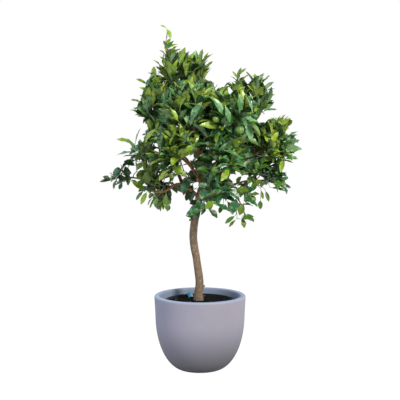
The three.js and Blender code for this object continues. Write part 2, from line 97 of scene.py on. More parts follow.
def across_of(axis: Array) -> Array:
    """A direction square to the axis, level where it can be."""
    level = np.cross(axis, UP)
    if np.linalg.norm(level) < 1e-3:
        level = np.cross(axis, [0.0, 1.0, 0.0])
    return unit(level)


def turned(vector: Array, axis: Array, angle: float) -> Array:
    """The vector, which is square to the axis, turned about it."""
    return vector * math.cos(angle) + np.cross(axis, vector) * math.sin(angle)


def smooth_step(value: Array, low: float, high: float) -> Array:
    """A soft rise from 0 at low to 1 at high."""
    share = np.clip((value - low) / (high - low), 0.0, 1.0)
    return share * share * (3.0 - 2.0 * share)


def linear(colour: Rgb) -> tuple[float, float, float, float]:
    """A screen colour as the linear one that shaders take, opaque.

    Args:
        colour: Red, green and blue from 0 to 255.

    Returns:
        The linear red, green and blue, and an alpha of 1.
    """
    shares = [part / 255 for part in colour]
    red, green, blue = (
        part / 12.92 if part <= 0.04045 else ((part + 0.055) / 1.055) ** 2.4 for part in shares
    )
    return red, green, blue, 1.0


# Steps that the modelled pieces share


class Bench:
    """The few steps at the bench that every modelled piece goes through."""

    @staticmethod
    def clear() -> None:
        """Leaves edit mode and selects nothing."""
        if bpy.context.mode != "OBJECT":
            bpy.ops.object.mode_set(mode="OBJECT")
        bpy.ops.object.select_all(action="DESELECT")

    @classmethod
    def pick(cls, piece: Piece) -> None:
        """Makes the piece the only one selected, and the active one."""
        cls.clear()
        piece.select_set(True)
        bpy.context.view_layer.objects.active = piece

    @classmethod
    def modify(cls, piece: Piece, kind: str, **settings: object) -> None:
        """Adds a modifier to the piece, sets it and applies it.

        Args:
            piece: The piece to change.
            kind: The modifier's type.
            **settings: The modifier's properties.
        """
        cls.pick(piece)
        bpy.ops.object.modifier_add(type=kind)
        modifier = piece.modifiers[-1]
        for key, value in settings.items():
            setattr(modifier, key, value)
        bpy.ops.object.modifier_apply(modifier=modifier.name)

    @classmethod
    def roughen(
        cls, piece: Piece, strength: float, scale: float, stretch: float = 1.0, **more: object
    ) -> None:
        """Pushes the surface in and out by a cloud pattern.

        Args:
            piece: The piece to change.
            strength: Height of the relief from valley to ridge, in millimetres.
            scale: Size of the clouds in millimetres.
            stretch: How many times longer than wide the clouds are, upwards.
            **more: Further properties of the modifier.
        """
        clouds = bpy.data.textures.new(f"{piece.name}_clouds", "CLOUDS")
        clouds.noise_scale = scale * MM
        clouds.noise_depth = 2
        cls.clear()
        bpy.ops.object.empty_add()
        guide = bpy.context.object
        guide.scale = (1.0, 1.0, stretch)
        cls.modify(
            piece,
            "DISPLACE",
            texture=clouds,
            texture_coords="OBJECT",
            texture_coords_object=guide,
            strength=strength * MM,
            mid_level=0.5,
            **more,
        )
        bpy.data.objects.remove(guide)

    @staticmethod
    def face_out() -> None:
        """Turns every face of the shell that is being edited outwards, and leaves edit mode."""
        bpy.ops.mesh.select_all(action="SELECT")
        bpy.ops.mesh.normals_make_consistent(inside=False)
        bpy.ops.object.mode_set(mode="OBJECT")

    @classmethod
    def settle(cls, piece: Piece) -> None:
        """Moves the piece's place, turn and size into its mesh."""
        cls.pick(piece)
        bpy.ops.object.transform_apply(location=True, rotation=True, scale=True)

    @classmethod
    def dress(cls, piece: Piece, degrees: float, *finishes: Finish) -> None:
        """Shades the piece smooth and gives it its finishes.

        Args:
            piece: The piece to dress.
            degrees: Edges sharper than this angle stay sharp.
            *finishes: The finish of each of its slots.
        """
        cls.pick(piece)
        bpy.ops.object.shade_smooth_by_angle(angle=math.radians(degrees))
        for finish in finishes:
            piece.data.materials.append(finish.material())

    @classmethod
    def join(cls, pieces: list[Piece], name: str) -> Piece:
        """Joins pieces into the first one.

        Args:
            pieces: The pieces to join.
            name: The joined piece's name.

        Returns:
            The joined piece.
        """
        cls.pick(pieces[0])
        for piece in pieces[1:]:
            piece.select_set(True)
        bpy.ops.object.join()
        joined = bpy.context.object
        joined.name = name
        joined.data.name = name
        return joined

    @classmethod
    def turn_up(cls, name: str, rings: list[Pair], sides: int) -> Piece:
        """Throws a closed round piece, ring by ring, as on a wheel.

        Args:
            name: The piece's name.
            rings: Radius and height of each ring in millimetres, from the underside's edge, up the
                outside and down the inside, to the edge of the inner floor.
            sides: Number of points in a ring.

        Returns:
            The closed piece.
        """
        cls.clear()
        radius, height = rings[0]
        bpy.ops.mesh.primitive_circle_add(
            vertices=sides, radius=radius * MM, fill_type="NOTHING", location=(0, 0, height * MM)
        )
        piece = bpy.context.object
        piece.name = name
        piece.data.name = name
        cls.settle(piece)
        bpy.ops.object.mode_set(mode="EDIT")
        bpy.ops.mesh.select_all(action="SELECT")
        for (inner, low), (outer, high) in pairwise(rings):
            bpy.ops.mesh.extrude_region_move(TRANSFORM_OT_translate={"value": (0, 0, (high - low) * MM)})
            grow = outer / inner
            bpy.ops.transform.resize(value=(grow, grow, 1), center_override=(0, 0, high * MM))
        bpy.ops.mesh.select_all(action="SELECT")
        bpy.ops.mesh.fill_holes(sides=0)
        cls.face_out()
        return piece


def piece_from_arrays(
    name: str, points: Array, faces: list[Array], slots: list[Array]
) -> Piece:
    """One mesh object from arrays of many small things.

    Args:
        name: The piece's name.
        points: Corner points in millimetres, one row each.
        faces: Blocks of faces, each with its own number of corners.
        slots: For each block, the material slot of each face.

    Returns:
        The new object, at the origin.
    """
    mesh = bpy.data.meshes.new(name)
    corners = [row for block in faces for row in block.tolist()]
    mesh.from_pydata((points * MM).tolist(), [], corners)
    mesh.polygons.foreach_set("material_index", np.concatenate(slots).astype(np.int32))
    mesh.validate()
    mesh.update()
    piece = bpy.data.objects.new(name, mesh)
    bpy.context.scene.collection.objects.link(piece)
    return piece


# Finishes


class NodeDesk:
    """Lays out the nodes of one material or group."""

    def __init__(self, tree: bpy.types.NodeTree, clear: bool = True) -> None:
        """Starts from an empty tree, or from the tree as it is."""
        self.tree = tree
        if clear:
            tree.nodes.clear()

    def feed(self, target: Socket, value: object) -> None:
        """Links an input to an output, or sets it to a plain value.

        Args:
            target: The input.
            value: The output or the value.
        """
        if isinstance(value, Socket):
            self.tree.links.new(value, target)
        else:
            target.default_value = value

    def add(self, kind: str, **values: object) -> bpy.types.Node:
        """Adds a node.

        Args:
            kind: The node's type.
            **values: Properties of the node; a key that isn't one is taken as the name of an input,
                with its spaces written as underscores, which gets a value or an output.

        Returns:
            The new node.
        """
        node = self.tree.nodes.new(kind)
        for key, value in values.items():
            if hasattr(node, key):
                setattr(node, key, value)
            else:
                self.feed(node.inputs[key.replace("_", " ")], value)
        return node

    def blend(self, share: Socket, first: object, second: object) -> Socket:
        """Mixes two colours by a share.

        Args:
            share: The output that gives the share of the second colour.
            first: A colour or an output that gives one.
            second: A colour or an output that gives one.

        Returns:
            The output that gives the mixed colour.
        """
        mix = self.add("ShaderNodeMix", data_type="RGBA", Factor=share)
        colour_inputs = [s for s in mix.inputs if s.type == "RGBA"]
        for target, colour in zip(colour_inputs, (first, second)):
            self.feed(target, colour)
        return next(s for s in mix.outputs if s.type == "RGBA")

    def choose(self, share: object, first: Socket, second: Socket) -> Socket:
        """Mixes two shaders by a share.

        Args:
            share: The share of the second shader, or an output that gives it.
            first: A shader's output.
            second: Another shader's output.

        Returns:
            The output that gives the mixed shader.
        """
        mix = self.add("ShaderNodeMixShader", Fac=share)
        self.feed(mix.inputs[1], first)
        self.feed(mix.inputs[2], second)
        return mix.outputs["Shader"]

    def ramp(self, value: Socket, low: float, high: float) -> Socket:
        """Stretches a value softly.

        Args:
            value: The output to stretch.
            low: The value that gives 0.
            high: The value that gives 1.

        Returns:
            The output that gives the stretched value.
        """
        node = self.add(
            "ShaderNodeMapRange", interpolation_type="SMOOTHSTEP", Value=value, From_Min=low, From_Max=high
        )
        return node.outputs["Result"]


class SharedPattern:
    """Blotches and fine grain that several finishes share, as one node group."""

    NAME = "blotch_and_grain"
    BLOTCH_RANGE = (0.32, 0.68)

    @classmethod
    def tree(cls) -> bpy.types.NodeTree:
        """The group, which is made the first time it is asked for.

        Returns:
            A group with inputs for the pattern's place, its two scales and the roughness range, and
            outputs for the blotches, the roughness and the height of the relief.
        """
        if cls.NAME in bpy.data.node_groups:
            return bpy.data.node_groups[cls.NAME]
        tree = bpy.data.node_groups.new(cls.NAME, "ShaderNodeTree")
        desk = NodeDesk(tree)
        tree.interface.new_socket("Place", in_out="INPUT", socket_type="NodeSocketVector")
        for name in ("Blotch Scale", "Grain Scale", "Rough Low", "Rough High"):
            tree.interface.new_socket(name, in_out="INPUT", socket_type="NodeSocketFloat")
        for name in ("Blotch", "Roughness", "Height"):
            tree.interface.new_socket(name, in_out="OUTPUT", socket_type="NodeSocketFloat")
        given = desk.add("NodeGroupInput").outputs
        place = given["Place"]
        blotch = desk.add(
            "ShaderNodeTexNoise", Vector=place, Scale=given["Blotch Scale"], Detail=3.0, Roughness=0.55
        )
        noise = desk.add(
            "ShaderNodeTexNoise", Vector=place, Scale=given["Grain Scale"], Detail=2.0, Roughness=0.6
        )
        grain = noise.outputs["Fac"]
        rough = desk.add(
            "ShaderNodeMapRange", Value=grain, To_Min=given["Rough Low"], To_Max=given["Rough High"]
        )
        spread = desk.ramp(blotch.outputs["Fac"], *cls.BLOTCH_RANGE)
        desk.add("NodeGroupOutput", Blotch=spread, Roughness=rough.outputs["Result"], Height=grain)
        return tree


@dataclass(frozen=True)
class Finish:
    """A finish with blotches of two colours and a fine grain.

    Scales are counts in a metre and the relief is in millimetres. Gloss is the weight of a clear coat and
    shine the strength of the plain reflection. Without a blotch colour the base colour is plain.
    """

    name: str
    colour: Rgb
    blotch: Rgb | None = None
    blotch_scale: float = 30.0
    grain_scale: float = 400.0
    rough: Pair = (0.5, 0.7)
    relief: float = 0.2
    gloss: float = 0.0
    shine: float = 0.5

    def material(self) -> bpy.types.Material:
        """The finish as a material, made the first time it is asked for.

        Returns:
            The material.
        """
        if self.name in bpy.data.materials:
            return bpy.data.materials[self.name]
        material = bpy.data.materials.new(self.name)
        material.use_nodes = True
        desk = NodeDesk(material.node_tree)
        place = desk.add("ShaderNodeTexCoord").outputs["Object"]
        pattern = desk.add(
            "ShaderNodeGroup",
            node_tree=SharedPattern.tree(),
            Place=place,
            Blotch_Scale=self.blotch_scale,
            Grain_Scale=self.grain_scale,
            Rough_Low=self.rough[0],
            Rough_High=self.rough[1],
        ).outputs
        height = self.height(desk, place, pattern["Height"])
        bump = desk.add("ShaderNodeBump", Strength=1.0, Distance=self.relief * MM, Height=height)
        shader = desk.add(
            "ShaderNodeBsdfPrincipled",
            Base_Color=linear(self.colour),
            Roughness=pattern["Roughness"],
            Coat_Weight=self.gloss,
            Coat_Roughness=COAT_ROUGHNESS,
            Specular_IOR_Level=self.shine,
            Normal=bump.outputs["Normal"],
        )
        desk.feed(shader.inputs["Base Color"], self.paint(desk, place, pattern["Blotch"]))
        desk.add("ShaderNodeOutputMaterial", Surface=shader.outputs["BSDF"])
        return material

    def height(self, desk: NodeDesk, place: Socket, grain: Socket) -> Socket:
        """The output that gives the height of the relief."""
        return grain

    def paint(self, desk: NodeDesk, place: Socket, blotches: Socket) -> object:
        """The base colour where it is plain, or else the output that gives it."""
        if self.blotch is None:
            return linear(self.colour)
        return desk.blend(blotches, linear(self.colour), linear(self.blotch))


@dataclass(frozen=True)
class PotFinish(Finish):
    """Smooth cast stone, with painted shade that darkens it towards the foot.

    Painted shade darkens the wall below one height, a painted bluish highlight lies on the rim from another,
    and painted bluish shade darkens the inner wall inside a radius and above a floor, all in millimetres,
    with the fades that soften their edges.
    """

    # The colour of the painted shade at the foot.
    foot: Rgb = (98, 96, 102)
    # The colour of the painted bluish highlight on the rim's top.
    rim: Rgb = (140, 152, 178)
    # The colour of the painted bluish shade on the inner wall.
    inside: Rgb = (122, 134, 156)
    shaded_below: float = 240.0
    rim_from: float = 322.0
    rim_fade: float = 6.0
    inner_radius: float = 178.0
    well_floor: float = 238.0
    inner_fade: float = 3.0

    def paint(self, desk: NodeDesk, place: Socket, blotches: Socket) -> object:
        """The base colour: blotched, with painted shade at the foot and inside and a painted rim highlight.

        Args:
            desk: The material's nodes.
            place: The output that gives the place.
            blotches: The output that is 1 in the blotches.

        Returns:
            The output that gives the colour.
        """
        split = desk.add("ShaderNodeSeparateXYZ", Vector=place).outputs
        # Painted shade, darker towards the foot.
        lower = desk.ramp(split["Z"], self.shaded_below * MM, 0.0)
        wall = desk.blend(lower, Finish.paint(self, desk, place, blotches), linear(self.foot))
        # Painted bluish highlight on the top of the rim.
        upper = desk.ramp(split["Z"], self.rim_from * MM, (self.rim_from + self.rim_fade) * MM)
        rim_highlighted = desk.blend(upper, wall, linear(self.rim))
        # Painted bluish shade on the inner wall.
        return desk.blend(self.inner_wall(desk, split), rim_highlighted, linear(self.inside))

    def inner_wall(self, desk: NodeDesk, split: bpy.types.NodeOutputs) -> Socket:
        """The output that is 1 where the inner wall takes its painted shade and 0 elsewhere.

        Args:
            desk: The material's nodes.
            split: The outputs that give each coordinate.

        Returns:
            The output.
        """
        level = desk.add("ShaderNodeCombineXYZ", X=split["X"], Y=split["Y"])
        radius = desk.add("ShaderNodeVectorMath", operation="LENGTH")
        desk.feed(radius.inputs[0], level.outputs["Vector"])
        outside = (self.inner_radius + self.inner_fade) * MM
        below = (self.well_floor - self.inner_fade) * MM
        near = desk.ramp(radius.outputs["Value"], outside, self.inner_radius * MM)
        above = desk.ramp(split["Z"], below, self.well_floor * MM)
        both = desk.add("ShaderNodeMath", operation="MULTIPLY")
        desk.feed(both.inputs[0], near)
        desk.feed(both.inputs[1], above)
        return both.outputs["Value"]


@dataclass(frozen=True)
class BarkFinish(Finish):
    """Bark that is grey brown and freckled on the trunk and rust brown on the boughs.

    The trunk's colour gives way to the boughs' from turns_at, over turns_over millimetres. The ranges are
    the patterns' values at the edge and in the middle of a furrow or a freckle.
    """

    bough: Rgb = (148, 100, 60)
    freckle: Rgb = (168, 148, 124)
    furrow: Rgb = (88, 64, 44)
    turns_at: float = 700.0
    turns_over: float = 110.0
    furrow_scale: float = 130.0
    furrow_length: float = 7.0
    furrow_range: Pair = (0.51, 0.31)
    freckle_scale: float = 210.0
    freckle_range: Pair = (0.6, 0.72)

    def furrows(self, desk: NodeDesk, place: Socket) -> Socket:
        """The output that is high on the ridges and low in the furrows.

        Args:
            desk: The material's nodes.
            place: The output that gives the place.

        Returns:
            The output.
        """
        long = desk.add("ShaderNodeMapping", Vector=place, Scale=(1.0, 1.0, 1.0 / self.furrow_length))
        noise = desk.add(
            "ShaderNodeTexNoise",
            Vector=long.outputs["Vector"],
            Scale=self.furrow_scale,
            Detail=4.0,
            Roughness=0.6,
            Distortion=0.6,
        )
        return noise.outputs["Fac"]

    def height(self, desk: NodeDesk, place: Socket, grain: Socket) -> Socket:
        """The relief follows the furrows."""
        return self.furrows(desk, place)

    def paint(self, desk: NodeDesk, place: Socket, blotches: Socket) -> object:
        """The base colour: trunk to bough by height, then furrows and freckles.

        Args:
            desk: The material's nodes.
            place: The output that gives the place.
            blotches: The output that is 1 in the blotches.

        Returns:
            The output that gives the colour.
        """
        split = desk.add("ShaderNodeSeparateXYZ", Vector=place).outputs
        up = desk.ramp(split["Z"], self.turns_at * MM, (self.turns_at + self.turns_over) * MM)
        wood = desk.blend(up, Finish.paint(self, desk, place, blotches), linear(self.bough))
        low = desk.ramp(self.furrows(desk, place), *self.furrow_range)
        furrowed = desk.blend(low, wood, linear(self.furrow))
        spots = desk.add("ShaderNodeTexNoise", Vector=place, Scale=self.freckle_scale, Detail=1.0)
        pale = desk.ramp(spots.outputs["Fac"], *self.freckle_range)
        return desk.blend(pale, furrowed, linear(self.freckle))


@dataclass(frozen=True)
class PeelFinish(Finish):
    """The peel of an unripe fruit, with fine pores.

    Pores are counted in a metre, and a pore's size is a share of the way to the next one.
    """

    pore_scale: float = 700.0
    pore_size: float = 0.45

    def height(self, desk: NodeDesk, place: Socket, grain: Socket) -> Socket:
        """The relief is a small pit at each pore."""
        pores = desk.add("ShaderNodeTexVoronoi", Vector=place, Scale=self.pore_scale)
        return desk.ramp(pores.outputs["Distance"], 0.0, self.pore_size)


POT_FINISH = PotFinish(
    name="pot_stone", colour=(144, 140, 154), blotch=(139, 138, 153), blotch_scale=5.0,
    grain_scale=650.0, rough=(0.55, 0.7), relief=0.12, shine=0.35
)
LINER_FINISH = Finish(
    name="liner_plastic", colour=(12, 17, 27), blotch=(17, 22, 33), rough=(0.4, 0.6), shine=0.12
)
SOIL_FINISH = Finish(
    name="soil_peat", colour=(11, 12, 15), blotch=(24, 22, 22), blotch_scale=90.0, grain_scale=520.0,
    rough=(0.85, 1.0), relief=2.0, shine=0.03
)
CHIP_FINISH = Finish(
    name="soil_chips", colour=(40, 32, 24), blotch=(20, 18, 18), rough=(0.8, 0.95), shine=0.05
)
PALE_CHIP_FINISH = Finish(
    name="soil_pale_chips", colour=(150, 140, 118), blotch=(96, 84, 66), rough=(0.8, 0.95)
)
BARK_FINISH = BarkFinish(
    name="bark", colour=(130, 111, 91), blotch=(107, 89, 71), blotch_scale=60.0, grain_scale=500.0,
    rough=(0.75, 0.95), relief=1.2, shine=0.25
)
CUT_WOOD_FINISH = Finish(
    name="cut_wood", colour=(214, 176, 150), blotch=(196, 150, 118), blotch_scale=260.0,
    rough=(0.7, 0.85)
)
TWIG_FINISH = Finish(
    name="twig_bark", colour=(92, 84, 44), blotch=(96, 70, 42), blotch_scale=45.0, rough=(0.6, 0.8)
)
SHOOT_FINISH = Finish(
    name="green_shoots", colour=(98, 122, 44), blotch=(84, 104, 40), blotch_scale=60.0,
    rough=(0.45, 0.65)
)
PEEL_FINISH = PeelFinish(
    name="green_peel", colour=(74, 108, 32), blotch=(92, 124, 46), blotch_scale=45.0, rough=(0.3, 0.42),
    relief=0.35, gloss=0.15
)
LABEL_FINISH = Finish(
    name="label_plastic", colour=(34, 118, 146), blotch=(42, 126, 152), rough=(0.35, 0.5), relief=0.05
)
FLOOR_FINISH = Finish(
    name="studio_floor", colour=(186, 188, 190), blotch=(183, 185, 188), blotch_scale=0.6,
    rough=(0.8, 0.9)
)


class Tone(Enum):
    """The leaf colours: screen colours of a leaf's upper side, rib and underside."""

    LIME = ((132, 156, 32), (176, 192, 88), (156, 174, 84))
    OLIVE = ((110, 142, 30), (154, 172, 76), (136, 156, 72))
    MOSS = ((82, 112, 24), (128, 148, 66), (116, 138, 70))
    GREEN = ((64, 108, 33), (112, 142, 76), (106, 136, 84))
    TEAL = ((61, 115, 61), (122, 152, 102), (112, 142, 100))
    PALE = ((95, 145, 94), (152, 178, 130), (138, 164, 124))
    DEEP = ((29, 60, 21), (60, 88, 38), (56, 84, 42))
    JADE = ((32, 88, 46), (80, 128, 78), (74, 116, 78))

    def finishes(self) -> list[Finish]:
        """The finishes of a leaf.

        Returns:
            Those of the upper side, the rib and the underside, in the order of a leaf's slots.
        """
        name = f"leaf_{self.name.lower()}"
        upper, rib, under = self.value
        glossy = Finish(
            f"{name}_upper", upper, grain_scale=120.0, rough=(0.28, 0.42), relief=0.5, gloss=0.1, shine=0.4
        )
        vein = Finish(f"{name}_rib", rib, rough=(0.4, 0.55), relief=0.1)
        matt = Finish(f"{name}_under", under, rough=(0.5, 0.65), relief=0.2)
        return [glossy, vein, matt]


LIME, OLIVE, MOSS, GREEN, TEAL, PALE, DEEP, JADE = Tone


# The crown's plan, as in the part's solids


class Habit(Enum):
    """How the sprays of a mass hold their leaves.

    The values are: how far a spray lifts, the opening of its lowest and of its top leaves in
    radians, how far each leaf rises or sags, its bend from root to tip, and its width as a share
    of its length.
    """

    SHOOT = (1.2, 0.9, 0.55, 0.35, 0.5, 0.4)
    YOUNG = (1.15, 0.85, 0.35, 0.4, 0.55, 0.35)
    GROWN = (0.6, 1.0, 0.45, 0.2, 0.6, 0.39)
    SHADED = (0.0, 1.05, 0.55, -0.25, 0.5, 0.47)

    def __init__(self, *values: float) -> None:
        """Keeps each value under its name."""
        self.lift, self.low_opening, self.top_opening, self.rise, self.bend, self.slimness = values


TonePair = tuple[Tone, Tone]


class Palette(Enum):
    """How the leaf tones are dealt out over the sprays of a mass.

    Each pair is the tone of a spray's older leaves and that of the younger ones at its tip, with its
    share of the sprays.
    """

    CREST = {
        (TEAL, OLIVE): 5, (DEEP, OLIVE): 5, (TEAL, LIME): 1, (DEEP, TEAL): 4, (GREEN, OLIVE): 2,
        (DEEP, MOSS): 5,
    }
    BODY = {
        (TEAL, PALE): 3, (TEAL, OLIVE): 3, (DEEP, PALE): 2, (DEEP, TEAL): 6, (DEEP, GREEN): 3,
        (TEAL, LIME): 1, (DEEP, OLIVE): 4,
    }
    SUNNY = {
        (TEAL, PALE): 5, (TEAL, OLIVE): 4, (GREEN, OLIVE): 3, (PALE, OLIVE): 3, (GREEN, LIME): 2,
    }
    SHADE = {
        (DEEP, TEAL): 4, (DEEP, GREEN): 4, (DEEP, OLIVE): 3, (TEAL, OLIVE): 2, (GREEN, MOSS): 2,
    }
    WARM_SKIRT = {
        (MOSS, OLIVE): 2, (GREEN, MOSS): 4, (DEEP, MOSS): 6, (DEEP, OLIVE): 2,
    }
    COOL_SKIRT = {
        (JADE, TEAL): 4, (GREEN, JADE): 4, (DEEP, GREEN): 3, (TEAL, PALE): 2, (MOSS, OLIVE): 2,
    }
    DARK_SKIRT = {
        (DEEP, GREEN): 3, (DEEP, TEAL): 2,
    }

    def pairs(self, count: int, rng: np.random.Generator) -> list[TonePair]:
        """Deals out pairs of tones.

        Args:
            count: How many sprays there are.
            rng: The source of chance.

        Returns:
            A pair for each spray.
        """
        kinds = list(self.value)
        weights = np.array([self.value[kind] for kind in kinds], float)
        picks = rng.choice(len(kinds), size=count, p=weights / weights.sum())
        return [kinds[pick] for pick in picks]


# Dark tones painted as shade on sprays that face the middle of the crown, where little light comes in.
INNER_SHADE_TONES: TonePair = (DEEP, GREEN)

TRUNK_ROUTE: list[Xyz] = [
    (-6, 0, 298), (-6, 0, 336), (-2, 3, 383), (-15, 8, 486), (-29, 10, 578), (-23, 6, 658), (-8, 2, 738),
    (8, -2, 824),
]


@dataclass(frozen=True)
class BoughPlan:
    """A bough's parent, where it leaves it, its elbow and tip, and its radii at both ends."""

    parent: str
    at: float
    elbow: Xyz
    tip: Xyz
    radii: Pair


BOUGHS: dict[str, BoughPlan] = {
    name: BoughPlan(*row)
    for name, row in {
        "leader": ("trunk", 1.0, (-2, 14, 1028), (-138, 8, 1363), (10, 4)),
        "right": ("trunk", 0.9, (70, -34, 854), (226, -20, 948), (9, 5.5)),
        "left": ("trunk", 0.97, (-30, -34, 923), (-140, -40, 964), (7.5, 5)),
        "left_low": ("trunk", 0.87, (-80, -50, 850), (-122, -68, 808), (8, 5.5)),
        "upper_left": ("trunk", 0.79, (-88, 44, 790), (-158, 4, 1066), (8.5, 5)),
        "right_low": ("trunk", 0.84, (74, 0, 790), (172, -12, 824), (7.5, 5)),
        "front_low": ("trunk", 0.76, (-8, -80, 760), (4, -134, 782), (7, 5)),
        "back_low": ("trunk", 0.82, (4, 70, 783), (16, 136, 810), (7.5, 5)),
        "back_right": ("trunk", 0.93, (52, 90, 880), (152, 158, 944), (7.5, 5)),
        "back_mid": ("trunk", 0.98, (12, 90, 872), (12, 190, 938), (6.5, 4.5)),
        "peak": ("leader", 0.5, (-72, -12, 1128), (-100, -6, 1206), (6.5, 4.5)),
        "upper_mid": ("leader", 0.35, (4, 44, 1068), (2, 38, 1182), (7, 5)),
        "front_upper": ("leader", 0.25, (-14, -70, 976), (-34, -130, 1048), (7, 5)),
        "front_right": ("leader", 0.1, (44, -80, 918), (84, -126, 1028), (7, 5)),
        "back_upper": ("leader", 0.18, (10, 84, 958), (20, 142, 1062), (7, 5)),
        "upper_right": ("right", 0.5, (150, 14, 918), (200, 14, 1080), (6.5, 5)),
        "mid_right": ("right", 0.3, (62, -100, 868), (78, -164, 908), (6.5, 4.5)),
        "mid_left": ("left", 0.4, (-52, -84, 933), (-74, -154, 946), (6, 4.5)),
        "back_left": ("upper_left", 0.35, (-112, 96, 898), (-160, 154, 964), (6.5, 4.5)),
        "far_left": ("upper_left", 0.2, (-180, 64, 818), (-276, 30, 840), (6, 4)),
        "droop": ("right_low", 0.6, (150, -58, 806), (164, -84, 762), (5, 4)),
    }.items()
}


@dataclass(frozen=True)
class MassPlan:
    """A mass of leaves: its ellipsoid, its twigs, a leaf's length, and how it holds and colours them.

    Fullness is the share of the possible leaves and finer twigs that grow.
    """

    centre: Xyz
    radii: Xyz
    twigs: int
    leaf: float
    habit: Habit
    palette: Palette
    fullness: float = 1.0


MASSES: dict[str, MassPlan] = {
    "leader": MassPlan((-140, 8, 1422), (44, 44, 80), 14, 52, Habit.SHOOT, Palette.CREST),
    "peak": MassPlan((-112, 5, 1258), (132, 130, 140), 20, 72, Habit.YOUNG, Palette.CREST, 0.58),
    "upper_mid": MassPlan((-4, 35, 1264), (106, 130, 130), 17, 72, Habit.YOUNG, Palette.CREST, 0.52),
    "upper_left": MassPlan((-192, -28, 1148), (142, 145, 134), 18, 76, Habit.YOUNG, Palette.CREST, 0.64),
    "front_upper": MassPlan((-45, -185, 1113), (150, 150, 155), 20, 78, Habit.YOUNG, Palette.BODY, 0.7),
    "front_right": MassPlan((110, -178, 1103), (150, 150, 152), 20, 74, Habit.GROWN, Palette.BODY, 0.7),
    "upper_right": MassPlan((210, 14, 1168), (120, 140, 152), 19, 67, Habit.YOUNG, Palette.BODY, 0.57),
    "left": MassPlan((-208, -38, 980), (146, 146, 130), 22, 72, Habit.YOUNG, Palette.SUNNY, 0.8),
    "mid_left": MassPlan((-95, -225, 958), (135, 125, 125), 17, 68, Habit.GROWN, Palette.SHADE, 0.95),
    "mid_right": MassPlan((100, -232, 933), (140, 128, 125), 16, 66, Habit.GROWN, Palette.SHADE, 0.85),
    "right": MassPlan((298, -20, 992), (142, 156, 146), 20, 60, Habit.GROWN, Palette.SUNNY, 0.68),
    "far_left": MassPlan((-332, 20, 852), (106, 84, 76), 12, 54, Habit.SHADED, Palette.DARK_SKIRT, 0.3),
    "left_low": MassPlan((-162, -76, 814), (136, 130, 120), 18, 68, Habit.SHADED, Palette.WARM_SKIRT, 0.85),
    "front_low": MassPlan((14, -205, 803), (136, 138, 120), 15, 72, Habit.SHADED, Palette.COOL_SKIRT, 0.9),
    "right_low": MassPlan((256, -10, 848), (146, 150, 126), 18, 44, Habit.SHADED, Palette.COOL_SKIRT),
    "droop": MassPlan((176, -88, 722), (96, 96, 96), 9, 48, Habit.SHADED, Palette.WARM_SKIRT, 0.55),
    "back_upper": MassPlan((23, 195, 1148), (156, 146, 152), 20, 56, Habit.GROWN, Palette.BODY, 0.9),
    "back_left": MassPlan((-206, 205, 998), (146, 148, 140), 19, 54, Habit.GROWN, Palette.BODY, 0.9),
    "back_right": MassPlan((215, 215, 998), (150, 148, 144), 19, 52, Habit.GROWN, Palette.BODY, 0.9),
    "back_low": MassPlan((23, 205, 824), (156, 138, 118), 16, 54, Habit.SHADED, Palette.WARM_SKIRT, 0.8),
    "back_mid": MassPlan((12, 262, 985), (120, 112, 112), 17, 56, Habit.GROWN, Palette.BODY, 0.9),
}
CROWN_CENTRE = np.array([0.0, 0.0, 1000.0])


@dataclass(frozen=True)
class FruitPlan:
    """An unripe fruit, hung in its mass in the given direction from the centre."""

    mass: str
    toward: Xyz
    radius: float


FRUITS: list[FruitPlan] = [
    FruitPlan("front_right", (0.33, -0.68, -0.3), 20),
    FruitPlan("front_right", (-0.3, -0.72, -0.02), 15),
    FruitPlan("mid_right", (-0.28, -0.62, -0.28), 16),
    FruitPlan("back_upper", (0.3, 0.6, -0.3), 18),
    FruitPlan("back_right", (0.5, 0.4, -0.4), 19),
]


@dataclass(frozen=True)
class SetLeaf:
    """A leaf that is set one by one: height of its root, its turn, rise and length, and its tone.

    The turn is in degrees about the upright, from the right through the back. The rise is in degrees
    above the level.
    """

    height: float
    turn: float
    rise: float
    length: float
    tone: Tone


# The topmost shoot: leaves in loose pairs, a bare stalk and two young leaves at the tip.
LEADER_TOP: Xyz = (-143, 8, 1487)
LEADER_LEAVES: list[SetLeaf] = [
    SetLeaf(*row)
    for row in (
        (1487, 190, 30, 28, OLIVE), (1486, 318, -58, 46, OLIVE), (1404, 12, 66, 42, OLIVE),
        (1396, 352, 30, 52, OLIVE), (1400, 262, 48, 46, TEAL), (1394, 20, 55, 50, TEAL),
        (1376, 200, 84, 40, MOSS), (1372, 335, 45, 56, MOSS), (1362, 250, 50, 38, OLIVE),
        (1366, 285, 40, 54, TEAL), (1358, 50, 45, 58, OLIVE), (1352, 0, 40, 60, MOSS),
        (1350, 230, 35, 52, OLIVE),
    )
]

# A young sprout on the bare trunk, just below the crown.
SPROUT_LEAVES: list[SetLeaf] = [
    SetLeaf(*row)
    for row in (
        (668, 215, 30, 26, LIME), (662, 245, -20, 22, LIME), (655, 190, 50, 18, OLIVE),
    )
]
# The side of the trunk that it grows on.
SPROUT_SIDE: Xyz = (-0.9, -0.45, 0.0)


@dataclass(frozen=True)
class Outlier:
    """A leaf that stands out by itself, on a thin twig of its own.

    Its root and tip are given by x and z as the eye sees them on the trunk's plane, and its depth by
    y. The tip's depth differs by the last value.
    """

    root: Pair
    tip: Pair
    depth: float
    tone: Tone
    toward: float = -10.0


@dataclass(frozen=True)
class SetForm:
    """The form of leaves that are set one by one.

    The slimness is the width as a share of the length, frontal how far the upper sides turn to the viewer,
    and sway how far the leaves lean to either side by turns.
    """

    slimness: float
    frontal: float
    bend: float = 0.3
    fold: float = 0.35
    twist: float = 0.2
    sway: float = 0.4


SHOOT_FORM = SetForm(0.42, 0.6, bend=0.35, fold=0.4, twist=0.15, sway=0.0)
OUTLIER_FORM = SetForm(0.36, 0.4)
SHOWN_FORM = SetForm(0.58, 1.0)

